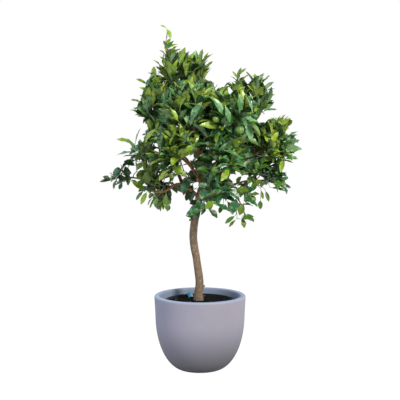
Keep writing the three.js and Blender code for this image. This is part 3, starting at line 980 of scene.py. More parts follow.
# Leaves on the outline and on the crown's face.
OUTLIERS: list[Outlier] = [
    Outlier(*row)
    for row in (
        ((-14, 1351), (-18, 1390), -20, TEAL, -5), ((0, 1338), (7, 1393), -30, MOSS, -5),
        ((-54, 1330), (-54, 1380), -50, MOSS, -5), ((-138, 1327), (-166, 1366), -40, MOSS),
        ((-33, 1302), (14, 1334), -90, OLIVE), ((-51, 1168), (22, 1152), -320, OLIVE, 5),
        ((-87, 1147), (-69, 1191), -315, MOSS, 10), ((-128, 1146), (-96, 1100), -305, OLIVE, -5),
        ((52, 1196), (104, 1122), -318, TEAL, -5), ((108, 1160), (130, 1090), -322, TEAL, -5),
        ((203, 1192), (230, 1134), -260, TEAL), ((-51, 1008), (-16, 968), -338, TEAL, 5),
        ((-217, 914), (-164, 888), -190, TEAL, -15), ((64, 887), (136, 909), -338, TEAL, 10),
        ((106, 963), (166, 946), -340, TEAL, 5), ((-262, 1130), (-298, 1140), -30, OLIVE),
        ((-252, 1170), (-294, 1184), -30, OLIVE), ((-226, 1246), (-268, 1272), -20, MOSS, -15),
        ((-210, 1207), (-254, 1236), -60, OLIVE, -20), ((-201, 1251), (-198, 1320), -40, MOSS, 10),
        ((-166, 1322), (-195, 1353), -30, OLIVE, 10), ((-90, 1322), (-77, 1392), -20, MOSS, 15),
        ((14, 1341), (50, 1380), 10, OLIVE), ((20, 1303), (48, 1347), -10, OLIVE, -20),
        ((160, 1272), (143, 1302), 0, OLIVE), ((160, 1256), (172, 1314), -20, MOSS),
        ((172, 1250), (138, 1284), -30, TEAL, -15), ((178, 1262), (208, 1290), -10, OLIVE, -15),
        ((165, 1284), (195, 1317), -10, MOSS, 10), ((249, 1252), (236, 1291), 0, OLIVE, 10),
        ((274, 1258), (297, 1287), 10, TEAL), ((281, 1220), (319, 1233), -20, MOSS),
        ((274, 1188), (319, 1207), -30, OLIVE, 15), ((284, 1136), (328, 1142), -30, TEAL, -15),
        ((352, 1072), (396, 1094), -10, OLIVE), ((-281, 991), (-351, 1016), -50, OLIVE, -15),
        ((-281, 991), (-265, 1057), -70, TEAL, 5), ((-255, 978), (-223, 1042), -90, PALE),
        ((-287, 956), (-357, 950), -40, TEAL, 20), ((-148, 783), (-145, 704), -110, MOSS),
        ((-172, 776), (-220, 722), -90, MOSS, -15), ((-243, 789), (-278, 753), -80, MOSS),
        ((-230, 785), (-256, 734), -100, OLIVE, -20), ((-382, 834), (-431, 831), -10, DEEP),
        ((-366, 834), (-332, 897), -30, DEEP), ((266, 790), (273, 755), -60, MOSS),
        ((285, 788), (299, 745), -50, GREEN), ((306, 802), (372, 790), -40, GREEN),
        ((350, 790), (379, 806), -40, OLIVE), ((154, 679), (113, 650), -90, GREEN, -20),
        ((157, 662), (128, 634), -95, MOSS), ((365, 926), (420, 930), -30, TEAL),
        ((360, 940), (412, 962), -40, MOSS), ((358, 921), (402, 913), -40, MOSS),
    )
]

# Broad leaves low on the crown that nothing hides from the front.
SHOWN_LEAVES: list[Outlier] = [
    Outlier(*row)
    for row in (
        ((-385, 832), (-417, 850), -10, DEEP), ((-374, 842), (-357, 886), -20, JADE),
        ((-338, 828), (-352, 858), -10, DEEP), ((-310, 840), (-322, 888), -30, DEEP),
        ((-338, 822), (-351, 797), -20, JADE), ((-301, 830), (-243, 793), -100, OLIVE, -20),
        ((-279, 896), (-324, 917), -30, DEEP), ((-239, 915), (-275, 884), -90, MOSS),
        ((263, 748), (262, 711), -60, GREEN), ((178, 664), (228, 677), -100, GREEN),
        ((182, 669), (194, 629), -90, MOSS), ((33, 729), (8, 794), -250, JADE, 10),
        ((-20, 754), (13, 714), -240, JADE), ((8, 703), (-54, 691), -250, JADE),
        ((2, 695), (-18, 665), -220, DEEP), ((68, 741), (24, 714), -230, OLIVE),
        ((37, 712), (74, 674), -220, DEEP), ((68, 729), (126, 705), -220, JADE),
        ((117, 745), (146, 689), -170, MOSS, 10), ((159, 759), (144, 696), -200, JADE),
        ((119, 796), (168, 760), -210, JADE), ((102, 781), (75, 747), -230, JADE),
        ((104, 778), (134, 758), -200, JADE, 10), ((39, 807), (-3, 814), -260, JADE),
        ((60, 809), (37, 781), -240, DEEP), ((90, 803), (55, 820), -250, JADE),
        ((97, 827), (148, 805), -220, DEEP), ((-43, 838), (-80, 787), -160, JADE),
        ((-25, 792), (-44, 748), -90, DEEP), ((-45, 785), (-60, 748), -80, DEEP),
        ((-5, 740), (-42, 734), -120, DEEP), ((157, 816), (175, 847), -120, GREEN),
        ((196, 778), (240, 803), -130, JADE), ((218, 804), (260, 828), -120, MOSS),
        ((150, 792), (206, 790), -140, MOSS), ((214, 768), (254, 776), -110, MOSS),
        ((190, 763), (248, 727), -120, JADE), ((190, 734), (173, 686), -110, MOSS),
        ((112, 766), (148, 745), -190, JADE), ((222, 770), (240, 742), -110, GREEN),
        ((100, 724), (84, 694), -200, MOSS),
    )
]

# Where sky shows through the crown from the front: x and z on the trunk's plane, and radius.
SKY_GAPS: list[Xyz] = [
    (-291, 1084, 30), (-306, 1044, 20), (-238, 1062, 13), (-283, 1275, 46), (-322, 1204, 34),
    (-276, 1224, 13), (-192, 1392, 37), (-308, 1157, 19), (100, 1296, 50), (52, 1288, 20),
    (226, 1302, 14), (-222, 1332, 26), (-282, 1190, 20), (-262, 1040, 14), (-322, 982, 16),
    (-280, 770, 24), (314, 766, 22), (348, 1150, 30), (300, 1122, 10), (332, 1122, 14), (281, 1100, 12),
    (382, 1042, 9), (376, 884, 12), (-262, 1214, 12), (406, 1062, 14), (-325, 793, 20), (-246, 740, 18),
    (-204, 690, 26), (-105, 715, 26), (-88, 754, 17), (18, 668, 14), (76, 706, 13), (60, 662, 24),
    (288, 712, 26), (172, 652, 36), (-302, 884, 9), (-250, 869, 6), (-57, 884, 12), (-91, 834, 9),
    (-17, 808, 12), (-183, 960, 8), (-35, 930, 8), (-148, 834, 8), (196, 843, 11), (135, 852, 9),
    (261, 839, 11), (309, 808, 12), (222, 808, 8), (100, 739, 11), (112, 690, 16), (132, 690, 14),
    (20, 716, 6), (234, 792, 9), (258, 792, 9), (238, 753, 8), (181, 745, 8), (235, 702, 22),
    (-405, 885, 20), (-378, 908, 18), (-350, 922, 16), (-396, 803, 20), (-158, 686, 14), (-282, 1005, 14),
    (-246, 1012, 9), (70, 1235, 8), (130, 1217, 8), (218, 1200, 5), (204, 1262, 6), (-87, 1304, 5),
    (257, 1091, 8),
]

# Where many small gaps show: x and z of the middle, half width and half height, and how many.
GAP_FIELDS: list[tuple[float, float, float, float, int]] = [
    (70, 945, 170, 60, 7),
    (300, 880, 95, 95, 5),
    (-165, 960, 60, 50, 3),
]

# Boughs that show bare from the front: name, the shares of the length between which they do, with
# the stem beyond 1, and how wide the view of them stays open on each side.
SHOWN_BOUGHS: list[tuple[str, float, float, float]] = [
    ("left_low", 0.12, 1.85, 11.0),
    ("left", 0.1, 0.6, 9.0),
]


# Limbs


class Route:
    """A line in space, known by points along it."""

    def __init__(self, points: Array) -> None:
        """Keeps the points and the length of the line up to each of them."""
        self.points = points
        steps = np.linalg.norm(np.diff(points, axis=0), axis=1)
        self.marks = np.concatenate([[0.0], np.cumsum(steps)])

    @property
    def length(self) -> float:
        """The length of the line in millimetres."""
        return float(self.marks[-1])

    def at(self, share: float) -> Array:
        """The point at a share of the length."""
        mark = share * self.length
        return np.array([np.interp(mark, self.marks, self.points[:, i]) for i in range(3)])

    def heading(self, share: float) -> Array:
        """The direction at a share of the length."""
        step = 0.02
        return unit(self.at(min(1.0, share + step)) - self.at(max(0.0, share - step)))

    def evenly(self, count: int) -> Array:
        """The given number of points, evenly along the line."""
        marks = np.linspace(0.0, self.length, count)
        return np.stack([np.interp(marks, self.marks, self.points[:, i]) for i in range(3)], axis=1)

    @classmethod
    def bent(cls, start: Array, elbow: Array, end: Array) -> Route:
        """A line from start to end that leans towards the elbow."""
        t = np.linspace(0.0, 1.0, 41)[:, None]
        return cls((1 - t) ** 2 * start + 2 * t * (1 - t) * elbow + t**2 * end)

    @classmethod
    def through(cls, knots: Array) -> Route:
        """A smooth line through the knots, with even tension between near and far ones.

        Args:
            knots: The points to pass through, one row each.

        Returns:
            The line.
        """
        before = 2 * knots[0] - knots[1]
        after = 2 * knots[-1] - knots[-2]
        row = np.vstack([before, knots, after])
        t = np.linspace(0.0, 1.0, 17)[:-1, None]
        parts = []
        for i in range(1, len(row) - 2):
            p0, p1, p2, p3 = row[i - 1 : i + 3]
            d0, d1, d2 = (math.sqrt(np.linalg.norm(b - a)) for a, b in ((p0, p1), (p1, p2), (p2, p3)))
            m1 = d1 * ((p1 - p0) / d0 - (p2 - p0) / (d0 + d1) + (p2 - p1) / d1)
            m2 = d1 * ((p2 - p1) / d1 - (p3 - p1) / (d1 + d2) + (p3 - p2) / d2)
            parts.append(
                p1 + m1 * t + (3 * (p2 - p1) - 2 * m1 - m2) * t**2 + (2 * (p1 - p2) + m1 + m2) * t**3
            )
        return cls(np.vstack([*parts, knots[-1:]]))


@dataclass
class Limb:
    """A trunk, bough, stem, twig or stub: its line and its radius at points along it."""

    route: Route
    points: Array
    radii: Array

    @classmethod
    def tapered(cls, route: Route, radii: Pair, count: int) -> Limb:
        """A limb of so many points, whose radius changes evenly from end to end."""
        return cls(route, route.evenly(count), np.linspace(*radii, count))

    @property
    def tip_radius(self) -> float:
        """The radius at the far end."""
        return float(self.radii[-1])


@dataclass
class Skeleton:
    """The trunk, the boughs and the stems that carry them on into the masses of leaves.

    Radii are in millimetres, and the shares, the fork's place and its span are of the trunk's length. The
    trunk flares at the soil and swells at the fork. A bough has a collar where it leaves its parent. A stem
    leans out of its mass's centre by a share of the mass's radii.
    """

    flare_radius: float = 23.5
    flare_share: float = 0.09
    trunk_radius: float = 17.5
    fork_swell: float = 1.6
    fork_at: float = 0.8
    fork_span: float = 0.1
    top_radius: float = 10.5
    collar_swell: float = 0.4
    collar_fade: float = 14.0
    stem_tip: float = 2.6
    stem_lean: float = 0.3
    limbs: dict[str, Limb] = field(default_factory=dict)
    stems: dict[str, Limb] = field(default_factory=dict)

    def __post_init__(self) -> None:
        """Grows the trunk, then each bough from its parent, then each stem from its bough."""
        self.limbs["trunk"] = self.grow_trunk()
        for name, plan in BOUGHS.items():
            self.limbs[name] = self.grow_bough(plan)
        for name, plan in MASSES.items():
            self.stems[name] = self.grow_stem(self.limbs[name], plan)

    def grow_trunk(self) -> Limb:
        """The trunk, with its root flare, the swelling at the fork and its taper above that."""
        route = Route.through(np.array(TRUNK_ROUTE, float))
        t = np.linspace(0.0, 1.0, 61)
        flare = (self.flare_radius - self.trunk_radius) * np.exp(-t / self.flare_share)
        fork = self.fork_swell * np.exp(-(((t - self.fork_at) / self.fork_span) ** 2))
        taper = (self.trunk_radius - self.top_radius) * smooth_step(t, self.fork_at, 1.0)
        return Limb(route, route.evenly(len(t)), self.trunk_radius + flare + fork - taper)

    def grow_bough(self, plan: BoughPlan) -> Limb:
        """One bough, which starts on its parent's middle line and is thickest there.

        Args:
            plan: The bough's plan.

        Returns:
            The bough.
        """
        start = self.limbs[plan.parent].route.at(plan.at)
        route = Route.bent(start, np.array(plan.elbow, float), np.array(plan.tip, float))
        t = np.linspace(0.0, 1.0, 31)
        base, end = plan.radii
        radii = (base + (end - base) * t) * (1 + self.collar_swell * np.exp(-t * self.collar_fade))
        return Limb(route, route.evenly(len(t)), radii)

    def grow_stem(self, bough: Limb, plan: MassPlan) -> Limb:
        """The stem of a mass, which carries its bough on and bends to its end in the mass.

        Args:
            bough: The bough that it carries on.
            plan: The mass's plan.

        Returns:
            The stem.
        """
        heading = bough.route.heading(1.0)
        start = bough.route.at(1.0)
        centre = np.array(plan.centre, float)
        end = centre + self.stem_lean * np.array(plan.radii) * unit(centre - CROWN_CENTRE)
        elbow = start + heading * np.linalg.norm(end - start) / 2
        return Limb.tapered(Route.bent(start, elbow, end), (bough.tip_radius, self.stem_tip), 21)

    def at(self, name: str, share: float) -> Array:
        """The point at a share of a bough, or beyond 1 at a share of the stem that carries it on."""
        if share <= 1.0:
            return self.limbs[name].route.at(share)
        return self.stems[name].route.at(share - 1.0)

    def beads(self) -> tuple[Array, Array]:
        """Points along all limbs, and the limb's radius at each, for keeping leaves clear of them."""
        grown = [*self.limbs.values(), *self.stems.values()]
        points = np.vstack([limb.points for limb in grown])
        return points, np.concatenate([limb.radii for limb in grown])


@dataclass
class Bark:
    """The trunk, boughs and stems as one piece of wood with the bark's relief.

    The limbs are grown together in cells of the voxel's size. Swellings, furrows and grain are given by
    their height, size and how many times longer than wide they are. The knob is low on the trunk, and the
    stub of a pruned bough below the crown; each is given by both ends. The stub's pale cut face is a disc
    with two insets, each as wide and as high as given.
    """

    voxel: float = 2.2
    sides: int = 4
    swell: Xyz = (2.0, 55.0, 1.6)
    furrow: Xyz = (1.5, 9.0, 6.0)
    grain: Pair = (0.7, 5.0)
    knob: tuple[Xyz, Xyz] = ((-3, 0, 362), (22, -6, 371))
    knob_radii: Pair = (9.0, 4.5)
    stub: tuple[Xyz, Xyz] = ((-20, 4, 674), (-42, -4, 684))
    stub_radii: Pair = (9.0, 6.5)
    cut_radius: float = 6.2
    cut_depth: float = 2.2
    cut_insets: tuple[Pair, Pair] = ((1.2, 0.5), (1.8, -0.3))

    def stubs(self) -> list[Limb]:
        """The knob and the stub as limbs."""
        plans = (self.knob, self.knob_radii), (self.stub, self.stub_radii)
        return [Limb.tapered(Route(np.array(ends, float)), radii, 6) for ends, radii in plans]

    def build(self, skeleton: Skeleton) -> Piece:
        """Grows all limbs together and gives them their relief.

        Args:
            skeleton: The limbs.

        Returns:
            The piece.
        """
        curve = bpy.data.curves.new("bark", "CURVE")
        curve.dimensions = "3D"
        curve.bevel_depth = 1.0
        curve.bevel_resolution = self.sides
        curve.use_fill_caps = True
        for limb in [*skeleton.limbs.values(), *skeleton.stems.values(), *self.stubs()]:
            spline = curve.splines.new("POLY")
            spline.points.add(len(limb.points) - 1)
            places = np.column_stack([limb.points * MM, np.ones(len(limb.points))])
            spline.points.foreach_set("co", places.ravel())
            spline.points.foreach_set("radius", limb.radii * MM)
        bark = bpy.data.objects.new("bark", curve)
        bpy.context.scene.collection.objects.link(bark)
        Bench.pick(bark)
        bpy.ops.object.convert(target="MESH")
        bark = bpy.context.object
        Bench.modify(bark, "REMESH", mode="VOXEL", voxel_size=self.voxel * MM)
        Bench.modify(bark, "SMOOTH", factor=0.5, iterations=3)
        for relief in (self.swell, self.furrow, self.grain):
            Bench.roughen(bark, *relief)
        Bench.dress(bark, 60.0, BARK_FINISH)
        return bark

    def build_cut(self) -> Piece:
        """The pale cut face on the stub of the pruned bough.

        Returns:
            The piece.
        """
        start, end = (np.array(point, float) for point in self.stub)
        axis = unit(end - start)
        Bench.clear()
        bpy.ops.mesh.primitive_circle_add(vertices=24, radius=self.cut_radius * MM, fill_type="NGON")
        cut = bpy.context.object
        cut.name = "pruning_cut"
        bpy.ops.object.mode_set(mode="EDIT")
        bpy.ops.mesh.select_all(action="SELECT")
        bpy.ops.mesh.extrude_region_move(TRANSFORM_OT_translate={"value": (0, 0, self.cut_depth * MM)})
        for wide, high in self.cut_insets:
            bpy.ops.mesh.inset(thickness=wide * MM, depth=high * MM)
        Bench.face_out()
        cut.rotation_euler = (0.0, math.acos(axis[2]), math.atan2(axis[1], axis[0]))
        cut.location = end * MM
        Bench.settle(cut)
        Bench.dress(cut, 40.0, CUT_WOOD_FINISH)
        return cut


# Leaves


@dataclass
class LeafPose:
    """One leaf's place and form.

    It grows from the root along a direction, with its upper side out along another. The bend is its turn
    from root to tip, away from the upper side, the fold how far each half is folded up, the twist its turn
    about the rib, all in radians, and the wave the start of the wave along its edges.
    """

    root: Array
    along: Array
    upper: Array
    length: float
    width: float
    bend: float
    fold: float
    twist: float
    wave: float


@dataclass(frozen=True)
class LeafShape:
    """The outline of a leaf, from its stalk to its pointed tip, as a thin closed blade.

    Each station has five points: the two edges, the two sides of the rib and the ridge under it.

    Stations are shares of the blade's length, with the stalk below 0, and halves are half widths there, as
    shares of the widest. The rib's half width and the ridge's depth under it are in millimetres at the
    leaf's root. The bend sets in late by the curl, and the fold and the rib lose a share towards the tip.
    The last two values are the first corner beyond the stalk and the one in the middle of the blade.
    """

    stations: tuple[float, ...] = (-0.12, 0.0, 0.13, 0.32, 0.52, 0.72, 0.88, 1.0)
    halves: tuple[float, ...] = (0.0, 0.04, 0.5, 0.9, 1.0, 0.76, 0.36, 0.0)
    rib: float = 1.0
    ridge: float = 1.3
    waves: float = 2.2
    wave_height: float = 0.16
    curl: float = 1.4
    unfolding: float = 0.35
    thinning: float = 0.75
    rib_top: float = 0.7
    rib_height: float = 0.45
    blade_from: int = 2 * 5
    middle: int = 4 * 5 + 4

    def corners(self, poses: list[LeafPose]) -> Array:
        """The corner points of many leaves.

        Args:
            poses: The leaves.

        Returns:
            An array of leaf, corner and coordinate: five corners for each station, then the tip.
        """
        share = np.array(self.stations)
        half = np.array(self.halves)
        root, along, upper = (
            np.array([getattr(pose, key) for pose in poses])[:, None] for key in ("root", "along", "upper")
        )
        length, width, bend, fold, twist, wave = (
            np.array([getattr(pose, key) for pose in poses])[:, None]
            for key in ("length", "width", "bend", "fold", "twist", "wave")
        )
        across = np.cross(along, upper)
        blade = np.clip(share, 0.0, None)
        slope = -bend * blade**self.curl
        middle = (slope[:, 1:] + slope[:, :-1]) / 2
        step = np.diff(share)
        start = np.zeros((len(poses), 1))
        forward = np.hstack([start, np.cumsum(step * np.cos(middle), axis=1)]) * length
        down = np.hstack([start, np.cumsum(step * np.sin(middle), axis=1)]) * length
        line = root + forward[..., None] * along + down[..., None] * upper
        normal = np.cos(slope)[..., None] * upper - np.sin(slope)[..., None] * along
        turn = (twist * blade)[..., None]
        side = across * np.cos(turn) + normal * np.sin(turn)
        out = normal * np.cos(turn) - across * np.sin(turn)
        reach = (half * width / 2)[..., None]
        ripple = self.wave_height * np.sin(2 * math.pi * self.waves * share + wave)
        opened = fold[..., None] * (1.0 - self.unfolding * blade)[None, :, None]
        edge = [
            line
            + way * side * (reach * np.cos(opened) + self.rib)
            + out * reach * (np.sin(opened) + way * ripple[..., None])
            for way in (-1.0, 1.0)
        ]
        thin = (1.0 - self.thinning * blade)[None, :, None]
        ribs = [
            line + way * side * self.rib * self.rib_top * thin + out * self.rib_height * thin
            for way in (-1.0, 1.0)
        ]
        under = line - out * self.ridge * thin
        rows = np.stack([edge[0], ribs[0], ribs[1], edge[1], under], axis=2)[:, :-1]
        tip = line[:, -1:]
        return np.concatenate([rows.reshape(len(poses), -1, 3), tip], axis=1)

    def faces(self) -> tuple[list[Array], list[Array]]:
        """The faces of one leaf and the material slot of each.

        Returns:
            Blocks of faces with four, three and five corners, and their slots: 0 for the upper side,
            1 for the rib and the stalk, 2 for the underside.
        """
        rows = len(self.stations) - 1
        ring = ((0, 1, 0), (1, 2, 1), (2, 3, 0), (3, 4, 2), (4, 0, 2))
        quads, quad_slots, tips, tip_slots = [], [], [], []
        for row in range(rows - 1):
            for left, right, slot in ring:
                low, high = row * 5, row * 5 + 5
                quads.append((low + left, high + left, high + right, low + right))
                quad_slots.append(1 if row == 0 else slot)
        last, tip = (rows - 1) * 5, rows * 5
        for left, right, slot in ring:
            tips.append((last + left, tip, last + right))
            tip_slots.append(slot)
        foot = [(0, 1, 2, 3, 4)]
        blocks = [np.array(quads), np.array(tips), np.array(foot)]
        return blocks, [np.array(quad_slots), np.array(tip_slots), np.array([1])]

    def build(self, name: str, poses: list[LeafPose]) -> Piece:
        """Joins many leaves into one piece.

        Args:
            name: The piece's name.
            poses: The leaves.

        Returns:
            The piece.
        """
        corners = self.corners(poses)
        count = corners.shape[1]
        blocks, slots = self.faces()
        shift = (np.arange(len(poses)) * count)[:, None, None]
        faces = [(block[None] + shift).reshape(-1, block.shape[1]) for block in blocks]
        marks = [np.tile(slot, len(poses)) for slot in slots]
        return piece_from_arrays(name, corners.reshape(-1, 3), faces, marks)


LEAF_SHAPE = LeafShape()


# The crown


class View:
    """The photograph's point of view, with the places where it sees through the crown."""

    EYE = np.array([0.0, -4500.0, 1144.0])
    # How far a gap's edge wanders, by three broad lobes and five small ones, as shares of its radius.
    LOBES, NOTCHES = 0.3, 0.2
    SMALL_GAP, GAP_SPREAD = 4.0, 4.0
    # Marks along a bough that shows, and how much of a fruit and of a set leaf stays in sight.
    BOUGH_MARKS, FRUIT_SHARE, BLADE_SHARE = 16, 0.5, 0.16

    def __init__(self, skeleton: Skeleton, fruits: list[Ball]) -> None:
        """Works out what has to stay in sight.

        Args:
            skeleton: The limbs, some of which show bare.
            fruits: Centre and radius of each fruit, which stays in sight too.
        """
        x, z, radius = np.array([*SKY_GAPS, *self.small_gaps()], float).T
        self.spots = np.column_stack([x, z])
        self.radii = radius
        self.depths = np.full(len(radius), np.inf)
        for name, low, high, wide in SHOWN_BOUGHS:
            shares = np.linspace(low, high, round(self.BOUGH_MARKS * (high - low)))
            self.keep_in_sight(np.array([skeleton.at(name, share) for share in shares]), wide)
        for centre, size in fruits:
            self.keep_in_sight(centre[None], size * self.FRUIT_SHARE)
        for leaf in SHOWN_LEAVES:
            ends = self.at_depth(leaf.root, leaf.depth), self.at_depth(leaf.tip, leaf.depth)
            blade = np.linspace(*ends, 5)[1:-1]
            self.keep_in_sight(blade, self.BLADE_SHARE * float(np.linalg.norm(ends[1] - ends[0])))

    def small_gaps(self, seed: int = 3) -> list[Xyz]:
        """The small gaps of every field, scattered by chance.

        Args:
            seed: Start of the chance.

        Returns:
            Place and radius of each gap.
        """
        rng = np.random.default_rng(seed)
        found = []
        for x, z, wide, high, count in GAP_FIELDS:
            for across, up, size in rng.random((count, 3)):
                radius = self.SMALL_GAP + self.GAP_SPREAD * size
                found.append((x + wide * (2 * across - 1), z + high * (2 * up - 1), radius))
        return found

    def keep_in_sight(self, points: Array, radius: float) -> None:
        """Keeps what is in front of the points open.

        Args:
            points: The points.
            radius: How wide the view of them stays open.
        """
        self.spots = np.vstack([self.spots, self.flat(points)])
        self.radii = np.concatenate([self.radii, np.full(len(points), radius)])
        self.depths = np.concatenate([self.depths, points[:, 1]])

    def at_depth(self, spot: Pair, depth: float) -> Array:
        """The point that is seen at a spot of the trunk's plane and lies at the given depth."""
        further = (depth - self.EYE[1]) / -self.EYE[1]
        x, z = spot
        return np.array([x * further, depth, self.EYE[2] + (z - self.EYE[2]) * further])

    def flat(self, points: Array) -> Array:
        """Where the line of sight through each point meets the trunk's plane."""
        nearer = -self.EYE[1] / (points[..., 1] - self.EYE[1])
        x = points[..., 0] * nearer
        z = self.EYE[2] + (points[..., 2] - self.EYE[2]) * nearer
        return np.stack([x, z], axis=-1)

    def hides(self, points: Array) -> Array:
        """Whether something at the points would cover what stays in sight.

        Args:
            points: Points of several things: thing, point and coordinate.

        Returns:
            For each thing, whether it covers a gap, a bare bough, a fruit or a set leaf.
        """
        away = self.flat(points)[..., None, :] - self.spots
        apart = np.linalg.norm(away, axis=-1)
        angle = np.arctan2(away[..., 1], away[..., 0])
        turn = np.arange(len(self.radii))
        edge = self.radii * (
            1 + self.LOBES * np.sin(3 * angle + turn) + self.NOTCHES * np.sin(5 * angle - 2 * turn)
        )
        in_front = points[..., None, 1] < self.depths
        return ((apart < edge) & in_front).any(axis=(1, 2))


@dataclass
class Mass:
    """A mass of leaves on its stem, with the space that it keeps to and its own source of chance.

    Its walls are points and radii of the limbs near it, which its leaves keep clear of.
    """

    name: str
    plan: MassPlan
    seed: int
    stem: Limb
    walls: tuple[Array, Array] = field(init=False)

    def __post_init__(self) -> None:
        """Keeps the ellipsoid as arrays."""
        self.centre = np.array(self.plan.centre, float)
        self.radii = np.array(self.plan.radii, float)
        self.mean_radius = float(self.radii.mean())
        self.habit = self.plan.habit
        self.outward = unit(self.centre - CROWN_CENTRE)
        self.rng = np.random.default_rng(self.seed)

    def share(self, points: Array) -> Array:
        """How far out points lie: 0 at the centre and 1 on the ellipsoid."""
        return np.linalg.norm((points - self.centre) / self.radii, axis=-1)

    def is_inner(self, point: Array, limit: float) -> bool:
        """Whether a point is on the side of the mass that faces the middle of the crown."""
        return float((point - self.centre) / self.radii @ self.outward) < limit

    def side_of(self, point: Array, other: Mass) -> float:
        """How far a point is inside the plane that parts this mass from another."""
        own = np.sum((point - self.centre) ** 2) - self.mean_radius**2
        theirs = np.sum((point - other.centre) ** 2) - other.mean_radius**2
        return float((theirs - own) / (2 * np.linalg.norm(self.centre - other.centre)))


@dataclass(frozen=True)
class Variety:
    """How much chance varies the leaves of a mass, and which way their upper sides face.

    A pair is the least share of the usual value, and how much chance adds to it. The opening, the turn
    about the rib and the twist are spreads in radians. Facing weighs the twig's direction, up and out of the
    crown.
    """

    opening: float = 0.4
    turn: float = 1.8
    length: Pair = (0.8, 0.45)
    width: Pair = (0.86, 0.28)
    bend: Pair = (0.5, 1.0)
    fold: Pair = (0.3, 0.35)
    twist: float = 0.5
    facing: Xyz = (0.55, 0.9, 0.25)


VARIETY = Variety()
# What chance decides for each leaf, in the order of the draws.
CHANCES = ("opening", "turn", "length", "width", "bend", "fold", "twist", "wave", "grows", "tone", "reach")
Chances = dict[str, float]


def varied(pair: Pair, chance: float) -> float:
    """The least value of a pair, with the share of what chance adds."""
    return pair[0] + pair[1] * chance


